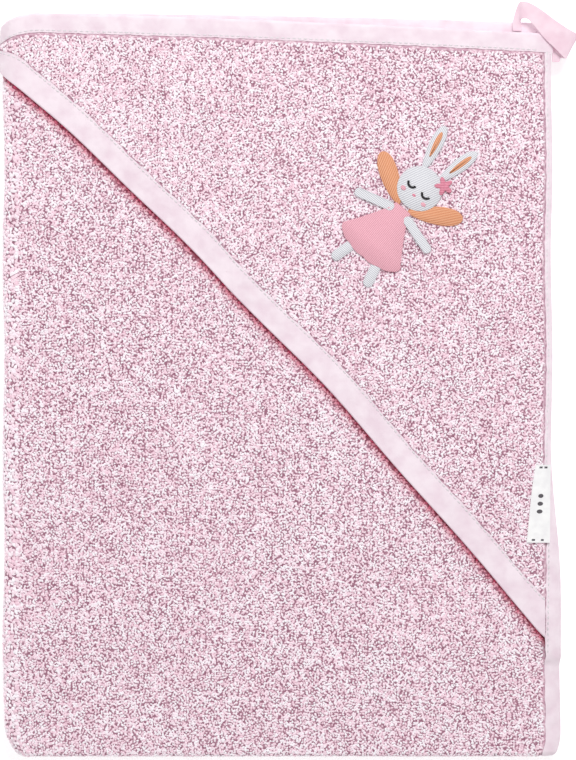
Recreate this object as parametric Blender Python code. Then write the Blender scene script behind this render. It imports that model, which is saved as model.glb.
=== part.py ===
"""Hooded baby towel, folded and lying flat with its hood up.

The towel is drafted flat, as it is cut and sewn, and then folded twice by one function:
in half along the bottom of the pack, and in three like an accordion along its two sides.

Flat cloth coordinates: u runs from the towel's right edge to its left edge, v from the hood
edge to the foot edge, and m is the height above the middle of the terry, on the hood side.
Row frame: X to the right, Y towards the hood edge, Z up out of the table. Metres.
"""

import math

import bmesh
import bpy
import numpy as np
from mathutils import Matrix, Vector

# Cloth
TOWEL_SIDE = 0.800  # finished square
TERRY_THICKNESS = 0.0028  # both piles
SEAM_TERRY_THICKNESS = 0.0014  # where the edge tape presses the pile flat
SEAM_HOOD_THICKNESS = 0.0022  # the hood, pressed on top of the towel in the same seam
GAP = 0.0003  # air between any two layers that lie on each other
SEAM_RAMP = 0.0006  # how fast the pile rises beside a tape

# Binding tape, folded over an edge
TAPE_THICKNESS = 0.0004
EDGE_TAPE_WIDTH = 0.0100
SIDE_TAPE_WIDTH = 0.0070  # down the right edge
THICK_TAPE_WIDTH = 0.0032  # what is left of it on the face where it also goes round the hood
HOOD_TAPE_WIDTH = 0.0135

# Hood: a triangle on the towel's right hood-edge corner
HOOD_RIGHT_LEG = 0.3426
HOOD_TOP_LEG = 0.3405
HOOD_BOW = 0.022  # how far its free edge is hollowed, measured along v
HOOD_TIP_WIDTH = 0.014  # where its narrow tip vanishes under the edge tape

# How the pack is folded
PACK_RIGHT = 0.1440
PACK_LEFT = -0.1495
INNER_FOLD_RIGHT = 0.1362  # centre of the lower fold, just behind the front leaf's edge
LEFT_SAG = 0.0030  # how far the middle leaf sinks where nothing lies under it
SAG_START = -0.085
SAG_END = -0.135
CURL_START = 0.1345  # from here the front leaf's edge bends down over the lower fold
CURL_BEND = 25.0
FOOT_FOLD_SKEW = 0.0032  # the half fold is this much out of square over the front leaf
CORNER_DIP = 0.0083  # how far the pack's hood edge runs down to the right

# Trim
LABEL_LENGTH = 0.0420
LABEL_WIDTH = 0.0095
LABEL_THICKNESS = 0.0008
LABEL_FROM_HOOD_EDGE = 0.240  # its near end, along v
LOOP_TAPE_WIDTH = 0.0110
LOOP_FROM_MIDDLE = 0.1277  # along X, where it leaves the hood edge
LOOP_DOWN_SIDE = 0.0090  # where it comes back to the right edge
LOOP_HINGE_SET = (-0.0005, -0.0009, 0.0020)  # it bends over the seam's upper lip
LOOP_TAPE_THICKNESS = 0.0009
THREAD_WIDTH = 0.0006
THREAD_HEIGHT = 0.00025
SEAM_INSET = 0.0012  # the stitching's distance from the tape's inner edge
EMBROIDERY_THICKNESS = 0.0004

# The embroidered rabbit, drawn upright about its own middle and then turned
RABBIT_CENTRE = (0.0640, 0.0930)
RABBIT_TURN = math.radians(-40)

# Worked out from the sizes above
STRIP = 2 * TERRY_THICKNESS + GAP  # the towel folded in half
PITCH = STRIP + GAP
PLY = (TERRY_THICKNESS + GAP) / 2  # from the strip's middle to the middle of one ply
HALF_TERRY = TERRY_THICKNESS / 2
HALF_SEAM = SEAM_TERRY_THICKNESS / 2
SPINE = GAP + TAPE_THICKNESS  # how far a tape reaches past the edge that it binds
LABEL_START = THICK_TAPE_WIDTH + SEAM_RAMP + GAP
BACK_Z = STRIP / 2
MIDDLE_Z = BACK_Z + PITCH
FRONT_Z = MIDDLE_Z + PITCH
LEFT_RADIUS = (PITCH + LEFT_SAG) / 2
RIGHT_RADIUS = PITCH / 2
LEFT_FOLD_X = PACK_LEFT + LEFT_RADIUS + STRIP / 2
HALF_TURN = math.pi * PLY
FOOT_Y = -(TOWEL_SIDE - HALF_TURN) / 4 + (STRIP / 2) / 2
HOOD_LOW = HALF_TERRY + GAP
HOOD_HIGH = HOOD_LOW + TERRY_THICKNESS
HOOD_MIDDLE = (HOOD_LOW + HOOD_HIGH) / 2
SEAM_HOOD_LOW = HALF_SEAM + GAP
SEAM_HOOD_HIGH = SEAM_HOOD_LOW + SEAM_HOOD_THICKNESS
TALL_TAPE = SEAM_HOOD_HIGH + SPINE  # the edge tape's face where it binds hood and towel
FLAT_TAPE = HALF_SEAM + SPINE  # and where it binds the towel alone

# How finely curved stretches are divided
PATH_SAMPLES = 240
HALF_TURN_STEPS = 6
FOLD_STEPS = 5
SAG_STEPS = 4
HOOD_STEPS = 12
LOOP_STEPS = 33


def ease(t):
    """A smooth step from 0 to 1."""
    t = min(1.0, max(0.0, t))
    return t * t * (3 - 2 * t)


class FoldPath:
    """The line that the half-folded strip follows from right to left, seen from its foot end."""

    def __init__(self):
        front = [self.front(x) for x in np.linspace(PACK_RIGHT + 2 * SPINE, LEFT_FOLD_X, PATH_SAMPLES)]
        left = self.turn(LEFT_FOLD_X, FRONT_Z - LEFT_RADIUS, LEFT_RADIUS, 90, 270)
        middle = [self.middle(x) for x in np.linspace(LEFT_FOLD_X, INNER_FOLD_RIGHT, PATH_SAMPLES)]
        right = self.turn(INNER_FOLD_RIGHT, MIDDLE_Z - RIGHT_RADIUS, RIGHT_RADIUS, 90, -90)
        so_far = front + left + middle + right
        start = self.length_of(self.before_edge())
        remaining = TOWEL_SIDE + 2 * SPINE + start - self.length_of(so_far)
        self.back_end_x = INNER_FOLD_RIGHT - remaining
        back = [(x, BACK_Z) for x in np.linspace(INNER_FOLD_RIGHT, self.back_end_x, PATH_SAMPLES)]
        points = np.array(so_far + back)
        steps = np.linalg.norm(np.diff(points, axis=0), axis=1)
        keep = np.concatenate([[True], steps > 1e-9])
        self.points = points[keep]
        along = np.concatenate([[0.0], np.cumsum(np.linalg.norm(np.diff(self.points, axis=0), axis=1))])
        self.along = along - start
        tangent = np.gradient(self.points, self.along, axis=0)
        tangent /= np.linalg.norm(tangent, axis=1)[:, None]
        self.normal = np.stack([tangent[:, 1], -tangent[:, 0]], axis=1)
        front_length = self.length_of(front) - start
        self.left_turn = (front_length, front_length + math.pi * LEFT_RADIUS)
        self.right_turn = (
            self.length_of(front + left + middle) - start,
            self.length_of(so_far) - start,
        )
        self.left_tip = sum(self.left_turn) / 2
        self.right_tip = sum(self.right_turn) / 2

    @staticmethod
    def front(x):
        return (x, FRONT_Z - CURL_BEND * max(0.0, x - CURL_START) ** 2)

    @staticmethod
    def middle(x):
        return (x, MIDDLE_Z - LEFT_SAG * ease((SAG_START - x) / (SAG_START - SAG_END)))

    @staticmethod
    def turn(x, z, radius, start, end):
        angles = np.radians(np.linspace(start, end, PATH_SAMPLES // 2))
        return [(x + radius * math.cos(a), z + radius * math.sin(a)) for a in angles]

    def before_edge(self):
        """The short stretch past the towel's right edge, where only the tape reaches."""
        return [self.front(x) for x in np.linspace(PACK_RIGHT + 2 * SPINE, PACK_RIGHT, 8)]

    @staticmethod
    def length_of(points):
        return float(np.linalg.norm(np.diff(np.array(points), axis=0), axis=1).sum())

    def at(self, u, n):
        """The point at distance n from the strip's middle, on the hood side, as x and z."""
        x, z = (np.interp(u, self.along, self.points[:, i]) for i in (0, 1))
        nx, nz = (np.interp(u, self.along, self.normal[:, i]) for i in (0, 1))
        return x + n * nx, z + n * nz

    def u_of(self, x):
        """The distance along the cloth of a place on the front leaf."""
        front = self.along <= self.left_turn[0]
        return float(np.interp(-x, -self.points[front][:, 0], self.along[front]))


PATH = FoldPath()


def ply_length(u):
    """The straight length of the hood-side ply at u, from the hood edge to the half fold."""
    return (TOWEL_SIDE - HALF_TURN) / 2 - FOOT_FOLD_SKEW * max(0.0, 1 - u / PATH.left_turn[0])


def lie(x, y):
    """The pack's hood edge runs down to the right; its foot fold stays straight."""
    share = max(0.0, (x - PACK_LEFT) / (PACK_RIGHT - PACK_LEFT))
    return y - CORNER_DIP * share**1.5 * max(0.0, y) / (TOWEL_SIDE / 4)


def place(u, v, m):
    """Where a point of the flat towel lies once it is folded."""
    straight = ply_length(u)
    if v < straight:
        y, n = FOOT_Y + straight - v, PLY + m
    elif v < straight + HALF_TURN:
        angle = (v - straight) / PLY
        y, n = FOOT_Y - (PLY + m) * math.sin(angle), (PLY + m) * math.cos(angle)
    else:
        y, n = FOOT_Y + v - straight - HALF_TURN, -(PLY + m)
    x, z = PATH.at(u, n)
    return Vector((x, lie(x, y), z))


def between(start, end, count):
    return [start + (end - start) * i / count for i in range(count + 1)]


LEFT_U, RIGHT_U = PATH.left_tip, PATH.right_tip
CURL_U = PATH.u_of(CURL_START)
RAMPED = THICK_TAPE_WIDTH + SEAM_RAMP
SIDE_STATIONS = [SIDE_TAPE_WIDTH, SIDE_TAPE_WIDTH + SEAM_RAMP, CURL_U]
FLAT_STATIONS = (
    between(CURL_U, PATH.left_turn[0], HOOD_STEPS)[1:-1]
    + between(PATH.left_turn[0], LEFT_U - GAP / 2, FOLD_STEPS)
)
FRONT_STATIONS = [0.0, THICK_TAPE_WIDTH, RAMPED, *SIDE_STATIONS, *FLAT_STATIONS]
MIDDLE_SAG_U = [PATH.left_turn[1] + x - LEFT_FOLD_X for x in between(SAG_END, SAG_START, SAG_STEPS)]
BACK_STATIONS = between(RIGHT_U + GAP / 2, PATH.right_turn[1], FOLD_STEPS)


def plies_of(u):
    """Distances along v that the towel needs at u: hood edge, half fold, foot edge."""
    straight = ply_length(u)
    return (
        [0.0, EDGE_TAPE_WIDTH, EDGE_TAPE_WIDTH + SEAM_RAMP]
        + [HOOD_END - SEAM_RAMP, HOOD_END]
        + between(straight, straight + HALF_TURN, HALF_TURN_STEPS)
        + [TOWEL_SIDE - EDGE_TAPE_WIDTH - SEAM_RAMP, TOWEL_SIDE - EDGE_TAPE_WIDTH, TOWEL_SIDE]
    )


def hood_edge(u):
    """The outer side of the tape on the hood's free edge, as a distance along v."""
    share = u / HOOD_TOP_LEG
    return HOOD_RIGHT_LEG * (1 - share) - 4 * HOOD_BOW * share * (1 - share)


def hood_tape_reach(u):
    """The hood tape's width at u, measured along v."""
    step = 0.001
    slope = (hood_edge(u + step) - hood_edge(u - step)) / (2 * step)
    return HOOD_TAPE_WIDTH * math.sqrt(1 + slope * slope)


def u_where(width, value):
    """Where on the hood a width that shrinks towards its tip has a given value."""
    low, high = 0.0, HOOD_TOP_LEG
    for _ in range(40):
        middle = (low + high) / 2
        low, high = (middle, high) if width(middle) > value else (low, middle)
    return low


def hood_tape_inner(u):
    return hood_edge(u) - hood_tape_reach(u)


ALL_TAPE_V = EDGE_TAPE_WIDTH + 3 * SEAM_RAMP
HOOD_TIP_U = u_where(hood_edge, HOOD_TIP_WIDTH)
ALL_TAPE_U = u_where(hood_tape_inner, ALL_TAPE_V)  # past here the hood is all under tape
HOOD_END = hood_edge(0.0) + GAP
HOOD_TAPE_STATIONS = [THICK_TAPE_WIDTH + GAP, RAMPED, *SIDE_STATIONS, *FLAT_STATIONS]
HOOD_TIP_STATIONS = (
    between(LEFT_U + GAP / 2, PATH.left_turn[1], FOLD_STEPS)
    + [ALL_TAPE_U + i * SEAM_RAMP for i in range(3)]
    + [u for u in MIDDLE_SAG_U if u < HOOD_TIP_U - SEAM_RAMP]
    + [HOOD_TIP_U]
)
MIDDLE_STATIONS = (
    HOOD_TIP_STATIONS
    + [u for u in MIDDLE_SAG_U if u > HOOD_TIP_U + 6 * SEAM_RAMP]
    + between(PATH.right_turn[0], RIGHT_U - GAP / 2, FOLD_STEPS)
)


# ---------------------------------------------------------------- Blender helpers


def clear_scene():
    for obj in list(bpy.data.objects):
        bpy.data.objects.remove(obj, do_unlink=True)


def linear(value):
    return value / 12.92 if value <= 0.04045 else ((value + 0.055) / 1.055) ** 2.4


def material(name, red, green, blue, roughness):
    """A cloth or thread finish from its sRGB colour, 0 to 255."""
    made = bpy.data.materials.new(name)
    made.use_nodes = True
    shader = made.node_tree.nodes["Principled BSDF"]
    colour = [linear(value / 255) for value in (red, green, blue)]
    shader.inputs["Base Color"].default_value = (*colour, 1.0)
    shader.inputs["Roughness"].default_value = roughness
    shader.inputs["Metallic"].default_value = 0.0
    return made


class Towel:
    """The collection and the empties on which the towel's pieces hang, one for each body."""

    def __init__(self, hinges):
        self.collection = bpy.data.collections.new("hooded_baby_towel")
        bpy.context.scene.collection.children.link(self.collection)
        self.hinges = {}
        for body, (point, parent) in hinges.items():
            empty = bpy.data.objects.new(body + "_hinge", None)
            empty.empty_display_size = 0.02
            self.collection.objects.link(empty)
            if parent is None:
                empty.location = point
            else:
                empty.parent = self.hinges[parent][0]
                empty.location = Vector(point) - self.hinges[parent][1]
            self.hinges[body] = (empty, Vector(point))

    def add(self, name, data, finish, body):
        """Puts a piece whose points are in the row frame on its body's empty."""
        obj = bpy.data.objects.new(name, data)
        self.collection.objects.link(obj)
        data.materials.append(finish)
        empty, point = self.hinges[body]
        obj.parent = empty
        obj.matrix_parent_inverse = Matrix.Translation(-point)
        return obj

    def loft(self, name, rings, finish, body):
        """A solid through closed sections. A section is a front row of points and the same
        number of back-row points in reverse, so its ends close with a strip of quads."""
        mesh = bmesh.new()
        rows = [[mesh.verts.new(point) for point in ring] for ring in rings]
        count = len(rows[0])
        for near, far in zip(rows, rows[1:]):
            for i in range(count):
                j = (i + 1) % count
                mesh.faces.new((near[i], near[j], far[j], far[i]))
        for ring in (rows[0], rows[-1]):
            for i in range(count // 2 - 1):
                mesh.faces.new((ring[i], ring[i + 1], ring[count - 2 - i], ring[count - 1 - i]))
        bmesh.ops.recalc_face_normals(mesh, faces=mesh.faces)
        data = bpy.data.meshes.new(name)
        mesh.to_mesh(data)
        mesh.free()
        data.shade_smooth()
        data.set_sharp_from_angle(angle=math.radians(35))
        return self.add(name, data, finish, body)

    def flat_shape(self, name, outline, low, finish, body):
        """A flat embroidered patch from a closed outline."""
        data = bpy.data.curves.new(name, "CURVE")
        data.dimensions = "2D"
        data.fill_mode = "BOTH"
        data.extrude = EMBROIDERY_THICKNESS / 2
        spline = data.splines.new("POLY")
        spline.points.add(len(outline) - 1)
        for point, (x, y) in zip(spline.points, outline):
            point.co = (x, y, 0.0, 1.0)
        spline.use_cyclic_u = True
        obj = self.add(name, data, finish, body)
        obj.location.z = low + EMBROIDERY_THICKNESS / 2
        return obj


# ---------------------------------------------------------------- sections in cloth coordinates


def band(front, back):
    """A closed section from its front points and its back points, both in the same order."""
    return front + back[::-1]


def half_terry(u, v):
    """Half the terry's thickness at u, v: it is pressed flat under the tapes."""
    under_right = u <= THICK_TAPE_WIDTH or (u <= SIDE_TAPE_WIDTH and v >= HOOD_END)
    under_left = u >= TOWEL_SIDE - EDGE_TAPE_WIDTH
    under_ends = v <= EDGE_TAPE_WIDTH or v >= TOWEL_SIDE - EDGE_TAPE_WIDTH
    return HALF_SEAM if under_right or under_left or under_ends else HALF_TERRY


def terry_ring(u):
    """The towel across v at u."""
    distances = plies_of(u)
    front = [place(u, v, half_terry(u, v)) for v in distances]
    back = [place(u, v, -half_terry(u, v)) for v in distances]
    return band(front, back)


def hood_ring(u):
    """The hood across v at u: pressed in the edge seam, full, and pressed in its own tape."""
    end = hood_edge(u) - SPINE
    pressed = (SEAM_HOOD_LOW, SEAM_HOOD_HIGH)
    in_tape_high = SEAM_HOOD_HIGH if u <= THICK_TAPE_WIDTH else HOOD_MIDDLE + HALF_SEAM
    in_tape = (HOOD_MIDDLE - HALF_SEAM, in_tape_high)
    seam = EDGE_TAPE_WIDTH
    if u > ALL_TAPE_U:
        at_seam = (HOOD_MIDDLE - HALF_SEAM, SEAM_HOOD_HIGH)
        tail = [(seam + i * SEAM_RAMP, *in_tape) for i in (1, 2, 3)] + [(end, *in_tape)]
        steps = [(0.0, *pressed), (seam, *at_seam), *tail]
    else:
        full = pressed if u <= THICK_TAPE_WIDTH else (HOOD_LOW, HOOD_HIGH)
        tape = hood_tape_inner(u)
        steps = [
            (0.0, *pressed),
            (seam, *pressed),
            (seam + SEAM_RAMP, *full),
            (tape - SEAM_RAMP, *full),
            (tape, *in_tape),
            (end, *in_tape),
        ]
    front = [place(u, v, high) for v, _, high in steps]
    back = [place(u, v, low) for v, low, _ in steps]
    return band(front, back)


def hood_tape_ring(u):
    """The tape folded over the hood's free edge, cut along the edge tape that it meets."""
    edge = hood_edge(u)
    inner = max(hood_tape_inner(u), EDGE_TAPE_WIDTH + GAP)
    if ALL_TAPE_U < u < ALL_TAPE_U + 1.5 * SEAM_RAMP:
        inner = ALL_TAPE_V
    top, bottom = HOOD_HIGH, HOOD_LOW
    skin = TAPE_THICKNESS
    outside = [(inner, top), (edge, top), (edge, bottom), (inner, bottom)]
    inside = [
        (inner, top - skin),
        (edge - skin, top - skin),
        (edge - skin, bottom + skin),
        (inner, bottom + skin),
    ]
    return band([place(u, v, m) for v, m in outside], [place(u, v, m) for v, m in inside])


def edge_tape_section(face, widths=(EDGE_TAPE_WIDTH,)):
    """The edge tape's outside and inside, as distances from the towel's edge and heights.
    widths holds the tape's width and any place nearer the edge where it bends."""
    skin = TAPE_THICKNESS
    outside = [(w, face) for w in widths] + [(-SPINE, face), (-SPINE, -FLAT_TAPE)]
    outside += [(w, -FLAT_TAPE) for w in widths[::-1]]
    inside = [(w, face - skin) for w in widths] + [(-GAP, face - skin), (-GAP, skin - FLAT_TAPE)]
    inside += [(w, skin - FLAT_TAPE) for w in widths[::-1]]
    return outside, inside


def hood_side_tape_ring(u):
    face = TALL_TAPE if u <= HOOD_TIP_U + GAP else FLAT_TAPE
    outside, inside = edge_tape_section(face)
    return band([place(u, a, m) for a, m in outside], [place(u, a, m) for a, m in inside])


def foot_side_tape_ring(u):
    outside, inside = edge_tape_section(FLAT_TAPE)
    return band(
        [place(u, TOWEL_SIDE - a, m) for a, m in outside],
        [place(u, TOWEL_SIDE - a, m) for a, m in inside],
    )


def side_tape_stations(u, hood=()):
    """Distances along v for a tape on the right or left edge, between the corner tapes."""
    straight = ply_length(u)
    start, end = EDGE_TAPE_WIDTH + GAP, TOWEL_SIDE - EDGE_TAPE_WIDTH - GAP
    return [start, *hood, *between(straight, straight + HALF_TURN, HALF_TURN_STEPS), end]


def right_tape_ring(v):
    if v <= HOOD_END:
        outside, inside = edge_tape_section(TALL_TAPE, (THICK_TAPE_WIDTH, THICK_TAPE_WIDTH / 2))
    else:
        outside, inside = edge_tape_section(FLAT_TAPE, (SIDE_TAPE_WIDTH, THICK_TAPE_WIDTH))
    return band([place(a, v, m) for a, m in outside], [place(a, v, m) for a, m in inside])


def left_tape_ring(v):
    outside, inside = edge_tape_section(FLAT_TAPE)
    return band(
        [place(TOWEL_SIDE - a, v, m) for a, m in outside],
        [place(TOWEL_SIDE - a, v, m) for a, m in inside],
    )


def thread_ring(across, low):
    """A row of stitching as one flat bead. across gives a point for an offset and a height."""
    half = THREAD_WIDTH / 2
    high = low + THREAD_HEIGHT
    return band([across(-half, high), across(half, high)], [across(-half, low), across(half, low)])


# ---------------------------------------------------------------- the sewn pieces


def add_terry(towel, finish):
    back = BACK_STATIONS + [TOWEL_SIDE - EDGE_TAPE_WIDTH - SEAM_RAMP, TOWEL_SIDE - EDGE_TAPE_WIDTH, TOWEL_SIDE]
    towel.loft("terry_front_leaf", [terry_ring(u) for u in FRONT_STATIONS], finish, "front_leaf")
    towel.loft("terry_middle_leaf", [terry_ring(u) for u in MIDDLE_STATIONS], finish, "middle_leaf")
    towel.loft("terry_back_leaf", [terry_ring(u) for u in back], finish, "back_leaf")


def add_hood(towel, terry, tape):
    towel.loft("hood_panel", [hood_ring(u) for u in FRONT_STATIONS], terry, "front_leaf")
    towel.loft("hood_panel_tip", [hood_ring(u) for u in HOOD_TIP_STATIONS], terry, "middle_leaf")
    towel.loft("hood_tape", [hood_tape_ring(u) for u in HOOD_TAPE_STATIONS], tape, "front_leaf")
    towel.loft("hood_tape_tip", [hood_tape_ring(u) for u in HOOD_TIP_STATIONS], tape, "middle_leaf")


def add_edge_tape(towel, tape):
    """The tape round the whole towel, cut where a fold opens."""
    front = [-SPINE, *FRONT_STATIONS[1:]]
    step = HOOD_TIP_U + GAP
    middle = sorted([*MIDDLE_STATIONS, step, step + 4 * SEAM_RAMP])
    back = [*BACK_STATIONS, TOWEL_SIDE + SPINE]
    for name, stations, body in (
        ("front", front, "front_leaf"),
        ("middle", middle, "middle_leaf"),
        ("back", back, "back_leaf"),
    ):
        rings = [hood_side_tape_ring(u) for u in stations]
        towel.loft(f"edge_tape_hood_side_{name}", rings, tape, body)
        rings = [foot_side_tape_ring(u) for u in stations]
        towel.loft(f"edge_tape_foot_side_{name}", rings, tape, body)
    hood = [HOOD_END, HOOD_END + 4 * SEAM_RAMP]
    rings = [right_tape_ring(v) for v in side_tape_stations(0.0, hood)]
    towel.loft("edge_tape_right", rings, tape, "front_leaf")
    rings = [left_tape_ring(v) for v in side_tape_stations(TOWEL_SIDE)]
    towel.loft("edge_tape_left", rings, tape, "back_leaf")


def add_stitching(towel, thread):
    """The visible rows of stitching: on the hood's tape and on the edge tape over the hood."""

    def hood_row(u):
        v = hood_tape_inner(u) + SEAM_INSET
        return thread_ring(lambda a, m: place(u, v + a, m), HOOD_HIGH + GAP)

    def top_row(u):
        v = EDGE_TAPE_WIDTH - SEAM_INSET
        return thread_ring(lambda a, m: place(u, v + a, m), TALL_TAPE + GAP)

    def right_row(v):
        u = THICK_TAPE_WIDTH - SEAM_INSET
        return thread_ring(lambda a, m: place(u + a, v, m), TALL_TAPE + GAP)

    stations = HOOD_TAPE_STATIONS[1:-2]
    towel.loft("hood_tape_stitching", [hood_row(u) for u in stations], thread, "front_leaf")
    towel.loft("top_edge_stitching", [top_row(u) for u in stations], thread, "front_leaf")
    rows = between(EDGE_TAPE_WIDTH + GAP, hood_edge(0.0), HOOD_STEPS)
    towel.loft("right_edge_stitching", [right_row(v) for v in rows], thread, "front_leaf")


def add_label(towel, finish):
    """A folded woven label, caught in the right edge's seam and lying inwards on the hood."""
    low = HOOD_HIGH + GAP
    high = low + LABEL_THICKNESS
    near, far = LABEL_FROM_HOOD_EDGE, LABEL_FROM_HOOD_EDGE + LABEL_LENGTH
    rings = [
        band([place(u, near, high), place(u, far, high)], [place(u, near, low), place(u, far, low)])
        for u in between(LABEL_START, LABEL_START + LABEL_WIDTH, 3)
    ]
    towel.loft("woven_label", rings, finish, "label")


def smooth_route(points, steps):
    """A Catmull-Rom curve through points, as steps + 1 evenly numbered points."""
    ends = [2 * points[0] - points[1], *points, 2 * points[-1] - points[-2]]
    route = []
    for i in range(steps + 1):
        at = i * (len(points) - 1) / steps
        k = min(int(at), len(points) - 2)
        t = at - k
        a, b, c, d = ends[k : k + 4]
        route.append(
            0.5 * (2 * b + (c - a) * t + (2 * a - 5 * b + 4 * c - d) * t**2 + (3 * b - a - 3 * c + d) * t**3)
        )
    return route


def loop_sections():
    """The hanging loop's two edges, inner and outer, from the hood edge over the corner and
    back under itself to the right edge."""
    top = place(PATH.u_of(LOOP_FROM_MIDDLE), -SPINE - GAP, 0.0)
    side = place(-SPINE - GAP, LOOP_DOWN_SIDE, HOOD_LOW)
    corner = place(0.0, 0.0, TALL_TAPE)
    clear = LOOP_TAPE_THICKNESS / 2 + GAP / 2
    half = LOOP_TAPE_WIDTH / 2
    over = corner + Vector((0.0, 0.0, 2 * GAP + LOOP_TAPE_THICKNESS))
    crease = side + Vector((0.0100, 0.0030, 0.0024))
    across = Vector((0.45, 0.89, 0.0)) * half
    back = Vector((0.0, half * 0.7, 0.0))
    pairs = [
        (top + Vector((0.0024, clear, 0.0)), top + Vector((-0.0024, clear, 0.0))),
        (top + Vector((0.0022, 0.0034, 0.0008)), top + Vector((-0.0020, 0.0056, 0.0006))),
        (top + Vector((0.0022, 0.0050, 0.0024)), top + Vector((-0.0004, 0.0112, 0.0018))),
        (top + Vector((0.0030, 0.0050, 0.0040)), top + Vector((0.0030, 0.0152, 0.0032))),
        (top + Vector((0.0052, 0.0040, 0.0048)), top + Vector((0.0088, 0.0145, 0.0042))),
        (over + Vector((-0.0070, 0.0014, 0.0014)), over + Vector((-0.0012, 0.0112, 0.0008))),
        (over + Vector((0.0020, -0.0042, 0.0006)), over + Vector((0.0078, 0.0052, 0.0002))),
        (crease - across + Vector((0.0, 0.0, 0.0006)), crease + across + Vector((0.0, 0.0, 0.0004))),
        (
            crease - across + Vector((0.0016, 0.0, -0.0014)),
            crease + across + Vector((0.0018, -0.0004, -0.0016)),
        ),
        (crease - across + Vector((-0.0012, 0.0, -0.0032)), crease + across + Vector((-0.0016, -0.0020, -0.0034))),
        (side + Vector((0.0045, 0.0, -0.0006)) - back, side + Vector((0.0045, 0.0, -0.0008)) + back),
        (side + Vector((clear, 0.0, 0.0)) - back, side + Vector((clear, 0.0, 0.0)) + back),
    ]
    inner = smooth_route([pair[0] for pair in pairs], LOOP_STEPS)
    outer = smooth_route([pair[1] for pair in pairs], LOOP_STEPS)
    return inner, outer


def add_loop(towel, finish):
    inner, outer = loop_sections()
    rings = []
    for i in range(LOOP_STEPS + 1):
        before, after = max(i - 1, 0), min(i + 1, LOOP_STEPS)
        along = (inner[after] + outer[after] - inner[before] - outer[before]).normalized()
        across = (outer[i] - inner[i]).normalized()
        rise = across.cross(along).normalized() * (LOOP_TAPE_THICKNESS / 2)
        rings.append(band([inner[i] + rise, outer[i] + rise], [inner[i] - rise, outer[i] - rise]))
    towel.loft("hanging_loop", rings, finish, "loop")


# ---------------------------------------------------------------- the embroidered rabbit


def ellipse(cx, cy, rx, ry, turn=0.0, count=28):
    points = []
    for i in range(count):
        a = 2 * math.pi * i / count
        x, y = rx * math.cos(a), ry * math.sin(a)
        c, s = math.cos(turn), math.sin(turn)
        points.append((cx + x * c - y * s, cy + x * s + y * c))
    return points


def petal(x, y, length, width, turn, count=14):
    """A leaf shape that grows from x, y along turn, pointed at its root and round at its end."""
    points = []
    for i in range(2 * count):
        t = 2 * math.pi * i / (2 * count)
        along = length * (1 - math.cos(t)) / 2
        side = width / 2 * math.sin(t) * (0.55 + 0.45 * (1 - math.cos(t)) / 2)
        c, s = math.cos(turn), math.sin(turn)
        points.append((x + along * c - side * s, y + along * s + side * c))
    return points


def limb(x, y, length, width, turn, count=10):
    """A rounded bar from x, y along turn."""
    points = []
    radius = width / 2
    for end, start in ((length - radius, -90), (radius, 90)):
        for i in range(count + 1):
            a = math.radians(start + 180 * i / count)
            points.append((end + radius * math.cos(a), radius * math.sin(a)))
    c, s = math.cos(turn), math.sin(turn)
    return [(x + px * c - py * s, y + px * s + py * c) for px, py in points]


def smock(top, bottom, neck, hem, sag, count=12):
    """A bell with a straight neck and a rounded hem."""
    points = [(neck / 2, top)]
    for i in range(1, 5):
        t = i / 5
        points.append((neck / 2 + (hem - neck) / 2 * t**1.25, top + (bottom - top) * t))
    for i in range(count + 1):
        a = i / count
        points.append((hem / 2 * math.cos(math.pi * a), bottom - sag * math.sin(math.pi * a)))
    for i in range(4, 0, -1):
        t = i / 5
        points.append((-neck / 2 - (hem - neck) / 2 * t**1.25, top + (bottom - top) * t))
    points.append((-neck / 2, top))
    return points[::-1]


def arc_band(cx, cy, radius, width, start, end, count=9):
    """A curved stroke, such as a closed eye."""
    outer, inner = [], []
    for i in range(count + 1):
        a = math.radians(start + (end - start) * i / count)
        outer.append((cx + (radius + width / 2) * math.cos(a), cy + (radius + width / 2) * math.sin(a)))
        inner.append((cx + (radius - width / 2) * math.cos(a), cy + (radius - width / 2) * math.sin(a)))
    return outer + inner[::-1]


def flower(cx, cy, radius, petals=5, count=40):
    points = []
    for i in range(count):
        a = 2 * math.pi * i / count
        r = radius * (0.74 + 0.26 * math.cos(petals * a))
        points.append((cx + r * math.cos(a), cy + r * math.sin(a)))
    return points


HEAD_Y = 0.0165
HEAD_R = 0.0120

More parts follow.
